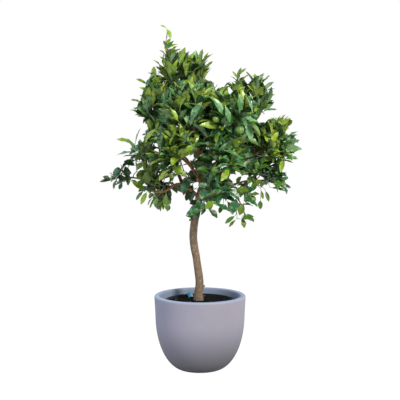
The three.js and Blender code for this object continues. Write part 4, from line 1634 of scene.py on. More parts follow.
@dataclass
class Crown:
    """Everything that grows on from the boughs: twigs, finer twigs, leaves and fruits.

    Lengths are in millimetres, turns in radians, and most other values are shares.

    Attributes:
        skeleton: The limbs.
        leaf_room: Share of a leaf's length that a twig's end stays inside its ellipsoid.
        finer_room: The same for a finer twig.
        cell_gap: How far both stay from the neighbours' space.
        outer_shares: How far out of its ellipsoid the least and the most daring leaf may come.
        crowding: How close the middles of two leaves may be.
        limb_gap: How far leaves keep from limbs.
        limb_reach: How far round a mass limbs are looked for.
        sizes: Sizes tried for a leaf.
        shifts: Turns tried for a leaf.
        inner_every: Every so many twigs, one ends further in.
        inner_reach: How far out that one comes.
        first_fork: Length of a stem before its first twig.
        stem_forks: The most of a stem before its first twig, and before its last.
        tuft: How far a stem's last twig goes on before it bends and in all, and how far it lifts.
        tuft_leaves: How many leaves that twig may have.
        elbow_pull: How far a twig's elbow lies along its stem and towards its end.
        leaf_step: Length of twig for each leaf.
        own_leaves: Share of those that a twig with finer twigs carries itself.
        leaf_from: Where on a twig its leaves start.
        fork_step: Length of twig for each finer twig.
        most_forks: The most finer twigs on a twig.
        fork_range: Between which places they fork off.
        fork_spread: How far they turn away from their twig.
        fork_lifts: How much of its habit's lift a finer twig takes on at its root and at its end.
        finer_spans: Shortest and longest finer twig.
        spans: Lengths tried for a finer twig.
        inner_limit: How far in sprays take the dark tones of painted shade.
        young_from: Where on a twig its leaves are young.
        tone_mixing: How far that differs from leaf to leaf.
        twig_radii: Radius of a twig at its root and at its end.
        finer_radii: The same for a finer twig.
        masses: The masses of leaves.
        twigs: The woody twigs.
        shoots: The finer twigs and other green ones.
        leaves: The leaves of each tone.
    """

    skeleton: Skeleton
    leaf_room: float = 0.5
    finer_room: float = 0.85
    cell_gap: float = 8.0
    outer_shares: Pair = (0.98, 1.18)
    crowding: float = 15.0
    limb_gap: float = 3.0
    limb_reach: float = 30.0
    sizes: tuple[float, ...] = (1.0, 0.78)
    shifts: tuple[float, ...] = (0.0, 1.1)
    inner_every: int = 3
    inner_reach: float = 0.6
    first_fork: float = 14.0
    stem_forks: Pair = (0.3, 0.9)
    tuft: Xyz = (18.0, 30.0, 16.0)
    tuft_leaves: int = 6
    elbow_pull: Pair = (0.4, 0.25)
    leaf_step: float = 11.0
    own_leaves: float = 0.65
    leaf_from: float = 0.3
    fork_step: float = 20.0
    most_forks: int = 5
    fork_range: Pair = (0.35, 0.9)
    fork_spread: float = 0.9
    fork_lifts: Pair = (0.5, 0.6)
    finer_spans: Pair = (40.0, 66.0)
    spans: tuple[float, ...] = (1.0, 0.75, 0.5)
    inner_limit: float = -0.15
    young_from: float = 0.6
    tone_mixing: float = 0.9
    twig_radii: Pair = (2.4, 1.5)
    finer_radii: Pair = (1.5, 0.9)
    masses: list[Mass] = field(default_factory=list)
    twigs: list[Limb] = field(default_factory=list)
    shoots: list[Limb] = field(default_factory=list)
    leaves: dict[Tone, list[LeafPose]] = field(default_factory=lambda: {tone: [] for tone in Tone})

    def __post_init__(self) -> None:
        """Sets out the masses, the fruits and what stays in sight."""
        self.middles = np.empty((0, 3))
        beads, radii = self.skeleton.beads()
        for order, (name, plan) in enumerate(MASSES.items()):
            mass = Mass(name, plan, order + 1, self.skeleton.stems[name])
            near = np.linalg.norm(beads - mass.centre, axis=1) < mass.radii.max() + self.limb_reach
            mass.walls = beads[near], radii[near]
            self.masses.append(mass)
        self.fruits = [self.fruit_place(plan) for plan in FRUITS]
        self.view = View(self.skeleton, self.fruits)

    def fruit_place(self, plan: FruitPlan) -> Ball:
        """Centre and radius of a fruit."""
        mass = next(mass for mass in self.masses if mass.name == plan.mass)
        return mass.centre + np.array(plan.toward) * mass.radii, plan.radius

    def grow(self) -> None:
        """Grows every mass from its stem, and the leaves that are set one by one."""
        for mass in self.masses:
            if mass.habit is Habit.SHOOT:
                self.grow_leader(mass)
            else:
                self.grow_mass(mass)
        self.grow_sprout()
        self.grow_outliers(OUTLIERS, OUTLIER_FORM)
        self.grow_outliers(SHOWN_LEAVES, SHOWN_FORM)

    def has_reach(self, point: Array, mass: Mass, room: float) -> bool:
        """Whether a point is inside its mass's own space, with the given room to the outside."""
        if (1.0 - float(mass.share(point))) * mass.mean_radius < room:
            return False
        return all(mass.side_of(point, other) > self.cell_gap for other in self.masses if other is not mass)

    def twig_end(self, index: int, mass: Mass) -> Array:
        """The end of one of the twigs, which are spread evenly round the mass by the golden angle.

        Args:
            index: The twig's number.
            mass: The mass that it grows in.

        Returns:
            The furthest point in the twig's direction that leaves room for a leaf.
        """
        height = 1 - (2 * index + 1) / mass.plan.twigs
        ring = math.sqrt(1 - height * height)
        turn = index * GOLDEN_ANGLE + mass.seed
        direction = np.array([ring * math.cos(turn), ring * math.sin(turn), height])
        room = self.leaf_room * mass.plan.leaf
        ends = [mass.centre + direction * share * mass.radii for share in np.arange(0.95, 0.05, -0.05)]
        end = next((point for point in ends if self.has_reach(point, mass, room)), ends[-1])
        if (index + 1) % self.inner_every == 0:
            end = mass.centre + (end - mass.centre) * self.inner_reach
        return end

    def grow_mass(self, mass: Mass) -> None:
        """Grows the twigs of one mass, in the order in which its stem passes their ends.

        Args:
            mass: The mass to grow.
        """
        stem = mass.stem.route
        marks = np.linspace(0.0, 1.0, 25)
        line = np.array([stem.at(mark) for mark in marks])
        ends = [self.twig_end(index, mass) for index in range(mass.plan.twigs)]
        ends.sort(key=lambda end: float(marks[np.argmin(np.linalg.norm(line - end, axis=1))]))
        at_most, last = self.stem_forks
        forks = np.linspace(min(at_most, self.first_fork / stem.length), last, len(ends))
        each = self.most_forks + 1
        tones = mass.plan.palette.pairs(each * len(ends) + 1, mass.rng)
        onward, outward = self.elbow_pull
        for order, (end, fork) in enumerate(zip(ends, forks)):
            start, heading = stem.at(fork), stem.heading(fork)
            span = float(np.linalg.norm(end - start))
            elbow = start + (onward * heading + outward * unit(end - start)) * span
            self.grow_twig(mass, Route.bent(start, elbow, end), tones[each * order : each * (order + 1)])
        tip, heading = stem.at(1.0), stem.heading(1.0)
        bend, reach, lift = self.tuft
        carried = Route.bent(tip, tip + bend * heading, tip + reach * heading + lift * UP)
        self.shoots.append(Limb.tapered(carried, self.twig_radii, 5))
        self.grow_spray(mass, carried, self.tuft_leaves, tones[-1])

    def grow_twig(self, mass: Mass, route: Route, tones: list[TonePair]) -> None:
        """Grows a twig with its own leaves and the finer twigs that fork from it.

        Args:
            mass: The mass that it grows in.
            route: The twig's line.
            tones: The tones of its own leaves and those of each finer twig.
        """
        twig = Limb.tapered(route, self.twig_radii, 7)
        if self.view.hides(twig.points[None, 1:])[0]:
            return
        self.twigs.append(twig)
        self.grow_spray(mass, route, 2 + round(self.own_leaves * route.length / self.leaf_step), tones[0])
        turn = mass.rng.uniform(0.0, 2 * math.pi)
        count = min(self.most_forks, max(2, round(route.length / self.fork_step)))
        for order, fork in enumerate(np.linspace(*self.fork_range, count)):
            angle = order * GOLDEN_ANGLE
            finer = self.fork_off(mass, route, float(fork), turn + angle, tones[1 + order])
            if finer is not None:
                self.fork_off(mass, finer, 0.5, turn - angle, tones[1 + order])

    def fork_off(self, mass: Mass, parent: Route, fork: float, turn: float, tones: TonePair) -> Route | None:
        """Grows one finer twig with its spray.

        Args:
            mass: The mass that it grows in.
            parent: The line of the twig that it leaves.
            fork: Where along that line it does.
            turn: Its turn about that line.
            tones: The tones of its older and younger leaves.

        Returns:
            Its line, or None where nothing grew.
        """
        share, reach = mass.rng.random(2)
        axis = parent.heading(fork)
        radial = turned(across_of(axis), axis, turn)
        heading = unit(axis + self.fork_spread * radial + self.fork_lifts[0] * mass.habit.lift * UP)
        shortest, longest = self.finer_spans
        finer = self.finer_route(mass, parent.at(fork), heading, shortest + (longest - shortest) * reach)
        if finer is None or share > mass.plan.fullness:
            return None
        if not self.grow_spray(mass, finer, 2 + round(finer.length / self.leaf_step), tones):
            return None
        self.shoots.append(Limb.tapered(finer, self.finer_radii, 6))
        return finer

    def finer_route(self, mass: Mass, start: Array, heading: Array, span: float) -> Route | None:
        """The line of a finer twig, as long as its mass has room for.

        Args:
            mass: The mass that it grows in.
            start: Where it leaves its twig.
            heading: Its direction there.
            span: Its full length in millimetres.

        Returns:
            The line, or None where there is no room.
        """
        room = self.finer_room * mass.plan.leaf
        for share in self.spans:
            reach = span * share
            end = start + reach * unit(heading + self.fork_lifts[1] * mass.habit.lift * UP)
            route = Route.bent(start, start + 0.5 * reach * heading, end)
            if self.has_reach(end, mass, room) and not self.view.hides(route.evenly(5)[None])[0]:
                return route
        return None

    def grow_spray(self, mass: Mass, route: Route, count: int, tones: TonePair) -> int:
        """Grows the leaves of one spray, set round its twig by the golden angle.

        Args:
            mass: The mass that it grows in.
            route: The line of its twig.
            count: How many leaves it may have.
            tones: The tones of its older and younger leaves.

        Returns:
            How many leaves grew.
        """
        begin = mass.rng.uniform(0.0, 2 * math.pi)
        # Sprays that face the middle of the crown take dark tones as painted shade.
        if mass.is_inner(route.at(0.6), self.inner_limit):
            tones = INNER_SHADE_TONES
        nearest, furthest = self.outer_shares
        grown = 0
        for order, share in enumerate(np.linspace(self.leaf_from, 1.0, count)):
            chances = dict(zip(CHANCES, mass.rng.random(len(CHANCES))))
            if chances["grows"] > mass.plan.fullness:
                continue
            tone = tones[int(share + self.tone_mixing * (chances["tone"] - 0.5) > self.young_from)]
            turn = begin + order * GOLDEN_ANGLE
            trials = [
                self.leaf_pose(mass, route, float(share), turn + shift, size, chances)
                for shift in self.shifts
                for size in self.sizes
            ]
            corners = LEAF_SHAPE.corners(trials)
            fits = self.fits(corners, mass, nearest + (furthest - nearest) * chances["reach"])
            for pose, fit, corner in zip(trials, fits, corners):
                if fit and self.has_room(corner[LEAF_SHAPE.middle]):
                    self.keep(pose, tone)
                    grown += 1
                    break
        return grown

    def keep(self, pose: LeafPose, tone: Tone) -> None:
        """Keeps a leaf and the place of its middle."""
        self.leaves[tone].append(pose)
        middle = pose.root + pose.along * pose.length / 2
        self.middles = np.vstack([self.middles, middle])

    def leaf_pose(
        self, mass: Mass, route: Route, share: float, turn: float, size: float, chances: Chances
    ) -> LeafPose:
        """One leaf on its twig.

        Args:
            mass: The mass that it grows in.
            route: The line of its twig.
            share: Where along the twig the leaf grows.
            turn: Its turn about the twig.
            size: Its size as a share of life length.
            chances: Numbers from 0 to 1 that vary its form.

        Returns:
            The leaf.
        """
        habit = mass.habit
        axis = unit(route.heading(share) + habit.lift * share * UP)
        opening = habit.low_opening + (habit.top_opening - habit.low_opening) * share
        opening += VARIETY.opening * (chances["opening"] - 0.5)
        radial = turned(across_of(axis), axis, turn)
        along = unit(axis * math.cos(opening) + radial * math.sin(opening) + habit.rise * UP)
        onward, upward, outward = VARIETY.facing
        facing = onward * axis + upward * UP + outward * mass.outward
        upper = facing - along * float(facing @ along)
        if np.linalg.norm(upper) < 0.05:
            upper = across_of(along)
        length = size * mass.plan.leaf * varied(VARIETY.length, chances["length"])
        return LeafPose(
            root=route.at(share),
            along=along,
            upper=turned(unit(upper), along, VARIETY.turn * (chances["turn"] - 0.5)),
            length=length,
            width=length * habit.slimness * varied(VARIETY.width, chances["width"]),
            bend=habit.bend * varied(VARIETY.bend, chances["bend"]),
            fold=varied(VARIETY.fold, chances["fold"]),
            twist=VARIETY.twist * (chances["twist"] - 0.5),
            wave=2 * math.pi * chances["wave"],
        )

    def fits(self, corners: Array, mass: Mass, limit: float) -> Array:
        """Which leaves stay in their mass's reach, clear of limbs and out of the open views.

        Args:
            corners: The leaves' corner points.
            mass: The mass that they grow in.
            limit: How far out of its ellipsoid they may come.

        Returns:
            For each leaf, whether it fits.
        """
        blade = corners[:, LEAF_SHAPE.blade_from :]
        inside = (mass.share(blade) < limit).all(axis=1)
        points, radii = mass.walls
        apart = np.linalg.norm(blade[:, ::2, None] - points, axis=-1)
        clear = (apart > radii + self.limb_gap).all(axis=(1, 2))
        return inside & clear & ~self.view.hides(blade)

    def has_room(self, middle: Array) -> bool:
        """Whether no other leaf's middle is too near."""
        return bool((np.sum((self.middles - middle) ** 2, axis=1) > self.crowding**2).all())

    def grow_leader(self, mass: Mass) -> None:
        """Grows the topmost shoot: its stalk, and its leaves in loose pairs.

        Args:
            mass: The mass of the topmost shoot.
        """
        stem = mass.stem.route
        tip = stem.at(1.0)
        top = np.array(LEADER_TOP, float)
        stalk = Route.bent(tip, tip + stem.heading(1.0) * np.linalg.norm(top - tip) / 2, top)
        self.shoots.append(Limb.tapered(stalk, (mass.stem.tip_radius, 1.0), 9))
        self.set_leaves(LEADER_LEAVES, np.vstack([stem.evenly(30), stalk.evenly(20)]))

    def grow_sprout(self) -> None:
        """Grows the young sprout on the bare trunk."""
        trunk = self.skeleton.limbs["trunk"]
        nearest = int(np.argmin(np.abs(trunk.points[:, 2] - SPROUT_LEAVES[0].height)))
        side = unit(np.array(SPROUT_SIDE))
        start = trunk.points[nearest] + side * (trunk.radii[nearest] - 2.0)
        stalk = Route.bent(start, start + 6 * side, start + 9 * side + 6 * UP)
        self.shoots.append(Limb.tapered(stalk, (1.6, 1.0), 4))
        self.set_leaves(SPROUT_LEAVES, stalk.evenly(6))

    def set_leaves(self, plans: list[SetLeaf], line: Array) -> None:
        """Sets listed leaves along a line of points.

        Args:
            plans: The leaves.
            line: Points of the twig that they grow on.
        """
        for order, plan in enumerate(plans):
            root = line[np.argmin(np.abs(line[:, 2] - plan.height))]
            turn, rise = math.radians(plan.turn), math.radians(plan.rise)
            level = math.cos(rise)
            along = np.array([math.cos(turn) * level, math.sin(turn) * level, math.sin(rise)])
            self.set_leaf(root, along, plan.length, SHOOT_FORM, order, plan.tone)

    def grow_outliers(self, plans: list[Outlier], form: SetForm) -> None:
        """Grows leaves that stand out, each from the nearest twig.

        Args:
            plans: The leaves.
            form: Their form.
        """
        points = np.vstack([limb.points for limb in [*self.twigs, *self.shoots]])
        for order, plan in enumerate(plans):
            root = self.view.at_depth(plan.root, plan.depth)
            reach = self.view.at_depth(plan.tip, plan.depth + plan.toward) - root
            nearest = points[np.argmin(np.linalg.norm(points - root, axis=1))]
            along = unit(reach)
            span = float(np.linalg.norm(root - nearest))
            twig = Route.bent(nearest, root - along * span / 3, root + along)
            self.shoots.append(Limb.tapered(twig, self.finer_radii, 6))
            self.set_leaf(root, along, float(np.linalg.norm(reach)), form, order, plan.tone)

    def set_leaf(
        self, root: Array, along: Array, length: float, form: SetForm, order: int, tone: Tone
    ) -> None:
        """Sets one listed leaf.

        Args:
            root: Where it grows from.
            along: Its direction.
            length: Its length.
            form: Its form.
            order: Its number, which varies its sway and its wave.
            tone: Its tone.
        """
        facing = UP + form.sway * math.sin(order) * across_of(along) + form.frontal * FRONT
        upper = unit(facing - along * float(facing @ along))
        width = form.slimness * length
        pose = LeafPose(root, along, upper, length, width, form.bend, form.fold, form.twist, float(order))
        self.keep(pose, tone)

    def build_leaves(self) -> list[tuple[Piece, Tone]]:
        """One piece of leaves for each tone.

        Returns:
            The pieces and their tones.
        """
        pieces = []
        for tone, poses in self.leaves.items():
            piece = LEAF_SHAPE.build(f"leaves_{tone.name.lower()}", poses)
            Bench.dress(piece, 38.0, *tone.finishes())
            pieces.append((piece, tone))
        return pieces

    def build_twigs(self) -> tuple[Piece, Piece]:
        """The twigs and the green finer twigs, each kind as one piece.

        Returns:
            The two pieces.
        """
        twigs = tubes("twigs", self.twigs, 6)
        Bench.dress(twigs, 50.0, TWIG_FINISH)
        shoots = tubes("green_shoots", self.shoots, 5)
        Bench.dress(shoots, 50.0, SHOOT_FINISH)
        return twigs, shoots


def tubes(name: str, limbs: list[Limb], sides: int) -> Piece:
    """Many thin limbs as one piece of closed tubes.

    Args:
        name: The piece's name.
        limbs: The limbs.
        sides: Number of sides of each tube.

    Returns:
        The piece.
    """
    points, quads, caps = [], [], []
    angles = np.linspace(0.0, 2 * math.pi, sides, endpoint=False)
    start = 0
    for limb in limbs:
        first = across_of(limb.route.heading(0.0))
        count = len(limb.points)
        headings = unit(np.gradient(limb.points, axis=0))
        for place, heading, radius in zip(limb.points, headings, limb.radii):
            first = unit(first - heading * float(first @ heading))
            second = np.cross(heading, first)
            ring = np.cos(angles)[:, None] * first + np.sin(angles)[:, None] * second
            points.append(place + radius * ring)
        index = start + np.arange(count * sides).reshape(count, sides)
        following = np.roll(index, -1, axis=1)
        quads.append(
            np.stack([index[:-1], following[:-1], following[1:], index[1:]], axis=-1).reshape(-1, 4)
        )
        caps.extend([index[0][::-1], index[-1]])
        start += count * sides
    faces = [np.vstack(quads), np.array(caps)]
    slots = [np.zeros(len(block)) for block in faces]
    return piece_from_arrays(name, np.vstack(points), faces, slots)


@dataclass
class Fruit:
    """The unripe fruits, hung on short stalks.

    A fruit has so many segments round it and rings from pole to pole. The dimple at the stalk is a share of
    the radius deep and is pressed in by steps, within the angles of the dents.
    """

    segments: int = 32
    rings: int = 20
    dimple: float = 0.16
    dents: tuple[float, ...] = (0.55, 0.36, 0.2)
    flatness: float = 0.94
    stalk_radius: float = 1.6

    def build_one(self, centre: Array, radius: float) -> Piece:
        """Shapes one fruit from a ball: a little flat, with a dimple at the stalk.

        Args:
            centre: The fruit's centre in millimetres.
            radius: Its radius.

        Returns:
            The fruit.
        """
        Bench.clear()
        bpy.ops.mesh.primitive_uv_sphere_add(
            segments=self.segments, ring_count=self.rings, radius=radius * MM, location=centre * MM
        )
        fruit = bpy.context.object
        bpy.ops.object.mode_set(mode="EDIT")
        bpy.ops.mesh.select_all(action="DESELECT")
        bpy.ops.object.mode_set(mode="OBJECT")
        for angle in self.dents:
            limit = radius * MM * math.cos(angle)
            for vertex in fruit.data.vertices:
                vertex.select = vertex.co.z > limit
            bpy.ops.object.mode_set(mode="EDIT")
            push = -self.dimple * radius * MM * (0.25 + angle)
            bpy.ops.transform.translate(value=(0, 0, push))
            bpy.ops.object.mode_set(mode="OBJECT")
        fruit.scale = (1.0, 1.0, self.flatness)
        Bench.settle(fruit)
        Bench.modify(fruit, "SUBSURF", levels=1, render_levels=1)
        return fruit

    def build(self, fruits: list[Ball]) -> Piece:
        """All fruits as one piece.

        Args:
            fruits: Centre and radius of each.

        Returns:
            The piece.
        """
        piece = Bench.join([self.build_one(*fruit) for fruit in fruits], "fruit")
        Bench.settle(piece)
        Bench.dress(piece, 60.0, PEEL_FINISH)
        return piece

    def stalks(self, fruits: list[Ball], twigs: list[Limb]) -> list[Limb]:
        """A stalk for each fruit, from the nearest point of a twig.

        Args:
            fruits: Centre and radius of each fruit.
            twigs: The twigs that they hang on.

        Returns:
            The stalks.
        """
        points = np.vstack([twig.points for twig in twigs])
        grown = []
        for centre, radius in fruits:
            start = points[np.argmin(np.linalg.norm(points - centre, axis=1))]
            top = centre + 0.7 * radius * UP
            route = Route.bent(start, (start + top) / 2 + 6 * UP, top)
            grown.append(Limb.tapered(route, (self.stalk_radius, self.stalk_radius), 6))
        return grown


# Pot and soil


@dataclass
class Pot:
    """The rounded pot, its liner and the soil.

    Lengths are in millimetres. The rounded base curves from the flat foot to the belly at curve_height, and
    from there the wall goes up to the rim. The well's floor lies round the liner. The soil is a mound that
    falls from mound_radius to the liner. A chip's width, height and lumps are shares of its length. The
    label's turns are in degrees.
    """

    height: float = 330.0
    rim_radius: float = 200.0
    belly_radius: float = 196.0
    foot_radius: float = 70.0
    curve_height: float = 240.0
    wall: float = 24.0
    lip: float = 9.0
    well_floor: float = 236.0
    liner_radius: float = 150.0
    liner_top: float = 309.0
    soil_level: float = 306.0
    mound: float = 8.0
    mound_radius: float = 20.0
    chip_sizes: Pair = (1.4, 5.0)
    chip_widths: Pair = (0.4, 0.8)
    chip_heights: Pair = (0.3, 0.6)
    chip_lumps: float = 0.25
    pale_chips: float = 0.05
    label_size: Xyz = (21.0, 1.2, 28.0)
    label_turns: Xyz = (-24.0, -18.0, 10.0)
    label_place: Xyz = (-44.0, 112.0, 308.0)
    sides: int = 128

    def lip_arc(self, outer: float, inner: float, steps: int = 6) -> list[Pair]:
        """Rings over one rounded edge of the rim, from one wall to the flat top.

        Args:
            outer: Radius of the wall.
            inner: Radius where the flat top starts.
            steps: Number of steps.

        Returns:
            Radius and height of each ring.
        """
        t = np.linspace(0.0, 1.0, steps + 1)
        low = self.height - self.lip
        radii = (1 - t) ** 2 * outer + 2 * t * (1 - t) * outer + t**2 * inner
        heights = (1 - t) ** 2 * low + 2 * t * (1 - t) * self.height + t**2 * self.height
        return list(zip(radii.tolist(), heights.tolist()))

    def rings(self) -> list[Pair]:
        """The pot's rings from the foot, up the outside, over the lip and down the inside."""
        angles = np.linspace(-math.pi / 2, 0.0, 29)
        spread = self.belly_radius - self.foot_radius
        base = [
            (self.foot_radius + spread * math.cos(a), self.curve_height * (1 + math.sin(a))) for a in angles
        ]
        low = self.height - self.lip
        climb = np.linspace(0.0, 1.0, 7)[1:-1]
        wall = [
            (
                self.belly_radius + (self.rim_radius - self.belly_radius) * t,
                self.curve_height + (low - self.curve_height) * t,
            )
            for t in climb
        ]
        inner_rim = self.rim_radius - self.wall
        outside_lip = self.lip_arc(self.rim_radius, self.rim_radius - self.lip)
        inside_lip = self.lip_arc(inner_rim, inner_rim + self.lip)[::-1]
        inner_wall = [(radius - self.wall, height) for radius, height in reversed(wall)]
        floor_edge = self.belly_radius - self.wall - 1
        floor = [(floor_edge, self.curve_height), (floor_edge - 4, self.well_floor), (60.0, self.well_floor)]
        return base + wall + outside_lip + inside_lip + inner_wall + floor

    def build(self) -> Piece:
        """The pot itself, very slightly uneven, as cast stone is.

        Returns:
            The piece.
        """
        pot = Bench.turn_up("pot_shell", self.rings(), self.sides)
        Bench.roughen(pot, 0.6, 90.0)
        Bench.dress(pot, 40.0, POT_FINISH)
        return pot

    def build_liner(self) -> Piece:
        """The dark plastic liner that holds the soil.

        Returns:
            The piece.
        """
        outer, top = self.liner_radius, self.liner_top
        rings = [
            (outer - 14, self.well_floor + 1.5),
            (outer - 10, self.well_floor + 4),
            (outer - 3, top - 9),
            (outer, top - 7),
            (outer + 1.5, top - 5),
            (outer + 1.5, top - 1.5),
            (outer + 0.5, top - 0.3),
            (outer - 1, top),
            (outer - 3, top - 0.8),
            (outer - 4, top - 3),
            (outer - 9, top - 40),
            (outer - 13, top - 62),
        ]
        liner = Bench.turn_up("liner", rings, self.sides)
        Bench.dress(liner, 35.0, LINER_FINISH)
        return liner

    def soil_height(self, radius: Array) -> Array:
        """Height of the soil's surface at a distance from the middle: a low mound."""
        return self.soil_level - self.mound * smooth_step(radius, self.mound_radius, self.liner_radius)

    def build_soil(self) -> Piece:
        """The soil's lumpy surface, on a body that fills the liner's upper part.

        Returns:
            The piece.
        """
        edge = self.liner_radius - 6.5
        radii = np.linspace(edge, 4.0, 34)
        rings = [(edge - 4, self.liner_top - 38), (edge - 0.5, self.liner_top - 18)]
        rings += [(float(radius), float(self.soil_height(radius))) for radius in radii]
        soil = Bench.turn_up("soil_bed", rings, self.sides)
        Bench.roughen(soil, 9.0, 26.0, direction="Z")
        Bench.roughen(soil, 5.0, 9.0, direction="Z")
        Bench.dress(soil, 50.0, SOIL_FINISH)
        return soil

    def build_chips(self, seed: int = 7, count: int = 520) -> Piece:
        """Bits of bark and pale grit that lie on the soil.

        Args:
            seed: Start of the chance that scatters them.
            count: How many there are.

        Returns:
            The piece.
        """
        rng = np.random.default_rng(seed)
        golden = (1 + math.sqrt(5)) / 2
        corners = np.array(
            [(0, a, b * golden) for a in (-1, 1) for b in (-1, 1)]
            + [(a, b * golden, 0) for a in (-1, 1) for b in (-1, 1)]
            + [(b * golden, 0, a) for a in (-1, 1) for b in (-1, 1)],
            float,
        )
        corners = unit(corners)
        faces = self.ball_faces(corners)
        points, blocks, slots = [], [], []
        for index in range(count):
            radius = (self.liner_radius - 10) * math.sqrt(rng.random())
            angle = rng.uniform(0.0, 2 * math.pi)
            length = rng.uniform(*self.chip_sizes)
            size = length * np.array([1.0, rng.uniform(*self.chip_widths), rng.uniform(*self.chip_heights)])
            turn = rng.uniform(0.0, math.pi)
            turn_row = np.array(
                [[math.cos(turn), -math.sin(turn), 0], [math.sin(turn), math.cos(turn), 0], [0, 0, 1]]
            )
            lumps = 1 + self.chip_lumps * rng.standard_normal((12, 1)).clip(-1, 1)
            lump = (corners * lumps) * size @ turn_row.T
            height = float(self.soil_height(np.array(radius))) + rng.uniform(0.0, 3.0)
            points.append(lump + [radius * math.cos(angle), radius * math.sin(angle), height])
            blocks.append(faces + 12 * index)
            slots.append(np.full(len(faces), 1 if rng.random() < self.pale_chips else 0))
        chips = piece_from_arrays("soil_chips", np.vstack(points), [np.vstack(blocks)], slots)
        Bench.dress(chips, 20.0, CHIP_FINISH, PALE_CHIP_FINISH)
        return chips

    @staticmethod
    def ball_faces(corners: Array) -> Array:
        """The twenty faces of a ball of twelve corners, each seen from outside.

        Args:
            corners: The corners at length one.

        Returns:
            Three corners for each face.
        """
        apart = np.linalg.norm(corners[:, None] - corners, axis=2)
        near = apart < apart[apart > 0.1].min() * 1.1
        found = []
        for a in range(12):
            for b in range(a + 1, 12):
                for c in range(b + 1, 12):
                    if near[a, b] and near[b, c] and near[a, c]:
                        out = np.dot(np.cross(corners[b] - corners[a], corners[c] - corners[a]), corners[a])
                        found.append((a, b, c) if out > 0 else (a, c, b))
        return np.array(found)

    def build_label(self) -> Piece:
        """A blank plastic label that leans in the soil behind the trunk.

        Returns:
            The piece.
        """
        Bench.clear()
        bpy.ops.mesh.primitive_cube_add(size=1.0)
        label = bpy.context.object
        label.name = "plant_label"
        label.scale = np.array(self.label_size) * MM
        Bench.settle(label)
        Bench.modify(label, "BEVEL", width=0.5 * MM, segments=2, limit_method="ANGLE")
        label.rotation_euler = [math.radians(turn) for turn in self.label_turns]
        label.location = np.array(self.label_place) * MM
        Bench.settle(label)
        Bench.dress(label, 35.0, LABEL_FINISH)
        return label


# Studio


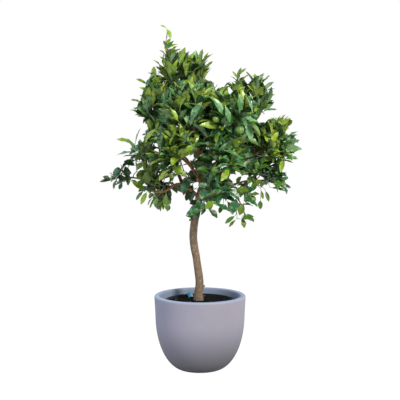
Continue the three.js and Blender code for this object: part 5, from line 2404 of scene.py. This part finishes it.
@dataclass
class Studio:
    """The pale floor, the soft light and the camera.

    The floor's side is in metres, the powers are in watts and the pitch is how many degrees the camera
    looks down. The frame is the picture's side in pixels and the focal length in the same pixels. The
    shadow is how much of the shadows shows on the floor, and the glow how bright it shows.
    """

    floor_size: float = 60.0
    frame: Pair = (400.0, 1038.0)
    pitch: float = 5.04
    shadow: float = 0.1
    glow: float = 1.1
    sky: float = 0.31
    sky_colour: Rgb = (214, 230, 252)
    key_power: float = 163.0
    fill_power: float = 49.0
    top_power: float = 34.0
    back_power: float = 60.0

    def build_floor(self) -> Piece:
        """The floor, which bounces less light than it shows, as a matt studio floor does.

        Returns:
            The floor.
        """
        Bench.clear()
        bpy.ops.mesh.primitive_plane_add(size=self.floor_size, location=(0, 0, -0.2 * MM))
        floor = bpy.context.object
        floor.name = "floor"
        Bench.settle(floor)
        floor.data.materials.append(self.floor_material())
        return floor

    def floor_material(self) -> bpy.types.Material:
        """The floor's finish: it shows nearly white, with a faint shadow, and gives off little light.

        Returns:
            The material.
        """
        material = FLOOR_FINISH.material()
        desk = NodeDesk(material.node_tree, clear=False)
        nodes = {node.type: node for node in desk.tree.nodes}
        matt = nodes["BSDF_PRINCIPLED"].outputs["BSDF"]
        glow = desk.add("ShaderNodeEmission", Color=WHITE, Strength=self.glow).outputs["Emission"]
        shown = desk.choose(self.shadow, glow, matt)
        seen = desk.add("ShaderNodeLightPath").outputs["Is Camera Ray"]
        desk.feed(nodes["OUTPUT_MATERIAL"].inputs["Surface"], desk.choose(seen, matt, shown))
        return material

    def light(self, place: Xyz, aim: Xyz, size: float, power: float, colour: Rgb) -> None:
        """Adds a square soft light.

        Args:
            place: Where it stands, in millimetres.
            aim: The point it faces.
            size: Its side in metres.
            power: Its power in watts.
            colour: Its screen colour.
        """
        Bench.clear()
        bpy.ops.object.light_add(type="AREA", location=np.array(place) * MM)
        lamp = bpy.context.object
        lamp.data.size = size
        lamp.data.energy = power
        lamp.data.color = linear(colour)[:3]
        away = unit(np.array(place, float) - np.array(aim, float))
        lamp.rotation_euler = (math.acos(away[2]), 0.0, math.atan2(away[1], away[0]) + math.pi / 2)

    def build_sky(self) -> None:
        """A white backdrop that lights the scene more softly than it shows."""
        world = bpy.data.worlds.new("studio")
        bpy.context.scene.world = world
        world.use_nodes = True
        desk = NodeDesk(world.node_tree)
        shown = desk.add("ShaderNodeBackground", Color=WHITE, Strength=1.0).outputs["Background"]
        sky = desk.add("ShaderNodeBackground", Color=linear(self.sky_colour), Strength=self.sky)
        seen = desk.add("ShaderNodeLightPath").outputs["Is Camera Ray"]
        desk.add("ShaderNodeOutputWorld", Surface=desk.choose(seen, sky.outputs["Background"], shown))

    def build_camera(self) -> None:
        """The camera at the photograph's viewing angle."""
        Bench.clear()
        turn = (math.radians(90.0 - self.pitch), 0.0, 0.0)
        bpy.ops.object.camera_add(location=View.EYE * MM, rotation=turn)
        camera = bpy.context.object
        side, focal = self.frame
        camera.data.sensor_fit = "HORIZONTAL"
        camera.data.angle = 2 * math.atan(side / 2 / focal)
        camera.data.clip_end = 200.0
        bpy.context.scene.camera = camera

    def build(self) -> Piece:
        """Sets up the whole studio.

        Returns:
            The floor.
        """
        self.build_camera()
        self.build_sky()
        self.light((1900, -2700, 2500), (0, 0, 850), 0.8, self.key_power, (255, 248, 232))
        self.light((-2400, -1900, 1500), (0, 0, 800), 2.4, self.fill_power, (232, 241, 255))
        self.light((-500, -800, 3300), (0, 0, 900), 1.1, self.top_power, (255, 253, 248))
        self.light((2600, 1500, 1700), (0, 0, 700), 2.4, self.back_power, (244, 247, 255))
        self.light((-1700, 2600, 2200), (0, 0, 800), 2.4, self.back_power, (250, 251, 255))
        bpy.context.scene.view_settings.view_transform = "Standard"
        return self.build_floor()


# Assembly


LEAF_SLOTS: dict[Tone, str] = {
    **dict.fromkeys((LIME, OLIVE), "leaves_young"),
    **dict.fromkeys((MOSS, GREEN, TEAL, PALE), "leaves_grown"),
    **dict.fromkeys((DEEP, JADE), "leaves_shaded"),
}


def place(piece: Piece, slot: str, *nodes: str) -> None:
    """Sets a finished piece on the part's body.

    Args:
        piece: The piece.
        slot: The name of a material slot; not used.
        *nodes: The solids that it stands for.
    """
    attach(piece, BODY)
    if nodes:
        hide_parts(*nodes)
    LOG.info("%s: %d faces", piece.name, len(piece.data.polygons))


def build_plant(nodes: list[str]) -> None:
    """Builds the wood, twigs, leaves and fruits.

    Args:
        nodes: The names of the part's solids.
    """
    skeleton = Skeleton()
    crown = Crown(skeleton)
    crown.grow()
    wood = Bark()
    boughs = [name for name in nodes if name.startswith("bough_")]
    foliage = [name for name in nodes if name.startswith("foliage_")]
    place(wood.build(skeleton), "trunk_bark", "trunk", *boughs)
    place(wood.build_cut(), "bough_bark")
    fruit = Fruit()
    crown.twigs.extend(fruit.stalks(crown.fruits, crown.twigs))
    twigs, shoots = crown.build_twigs()
    place(twigs, "bough_bark", *foliage)
    place(shoots, "leaves_young")
    for piece, tone in crown.build_leaves():
        place(piece, LEAF_SLOTS[tone])
    place(fruit.build(crown.fruits), "leaves_young")
    LOG.info("leaves: %d", sum(len(poses) for poses in crown.leaves.values()))


def build_pot() -> None:
    """Builds the pot with its liner, soil, chips and label."""
    pot = Pot()
    place(pot.build(), "pot", "pot")
    place(pot.build_liner(), "pot")
    place(pot.build_soil(), "soil", "soil")
    place(pot.build_chips(), "soil")
    place(pot.build_label(), "pot")


def main() -> None:
    """Builds the studio and every piece of the part."""
    logging.basicConfig(level=logging.INFO, format="%(name)s: %(message)s")
    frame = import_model()
    Bench.clear()
    Studio().build()
    build_pot()
    build_plant(sorted(frame["nodes"]))
    Bench.clear()


if __name__ == "__main__":
    main()
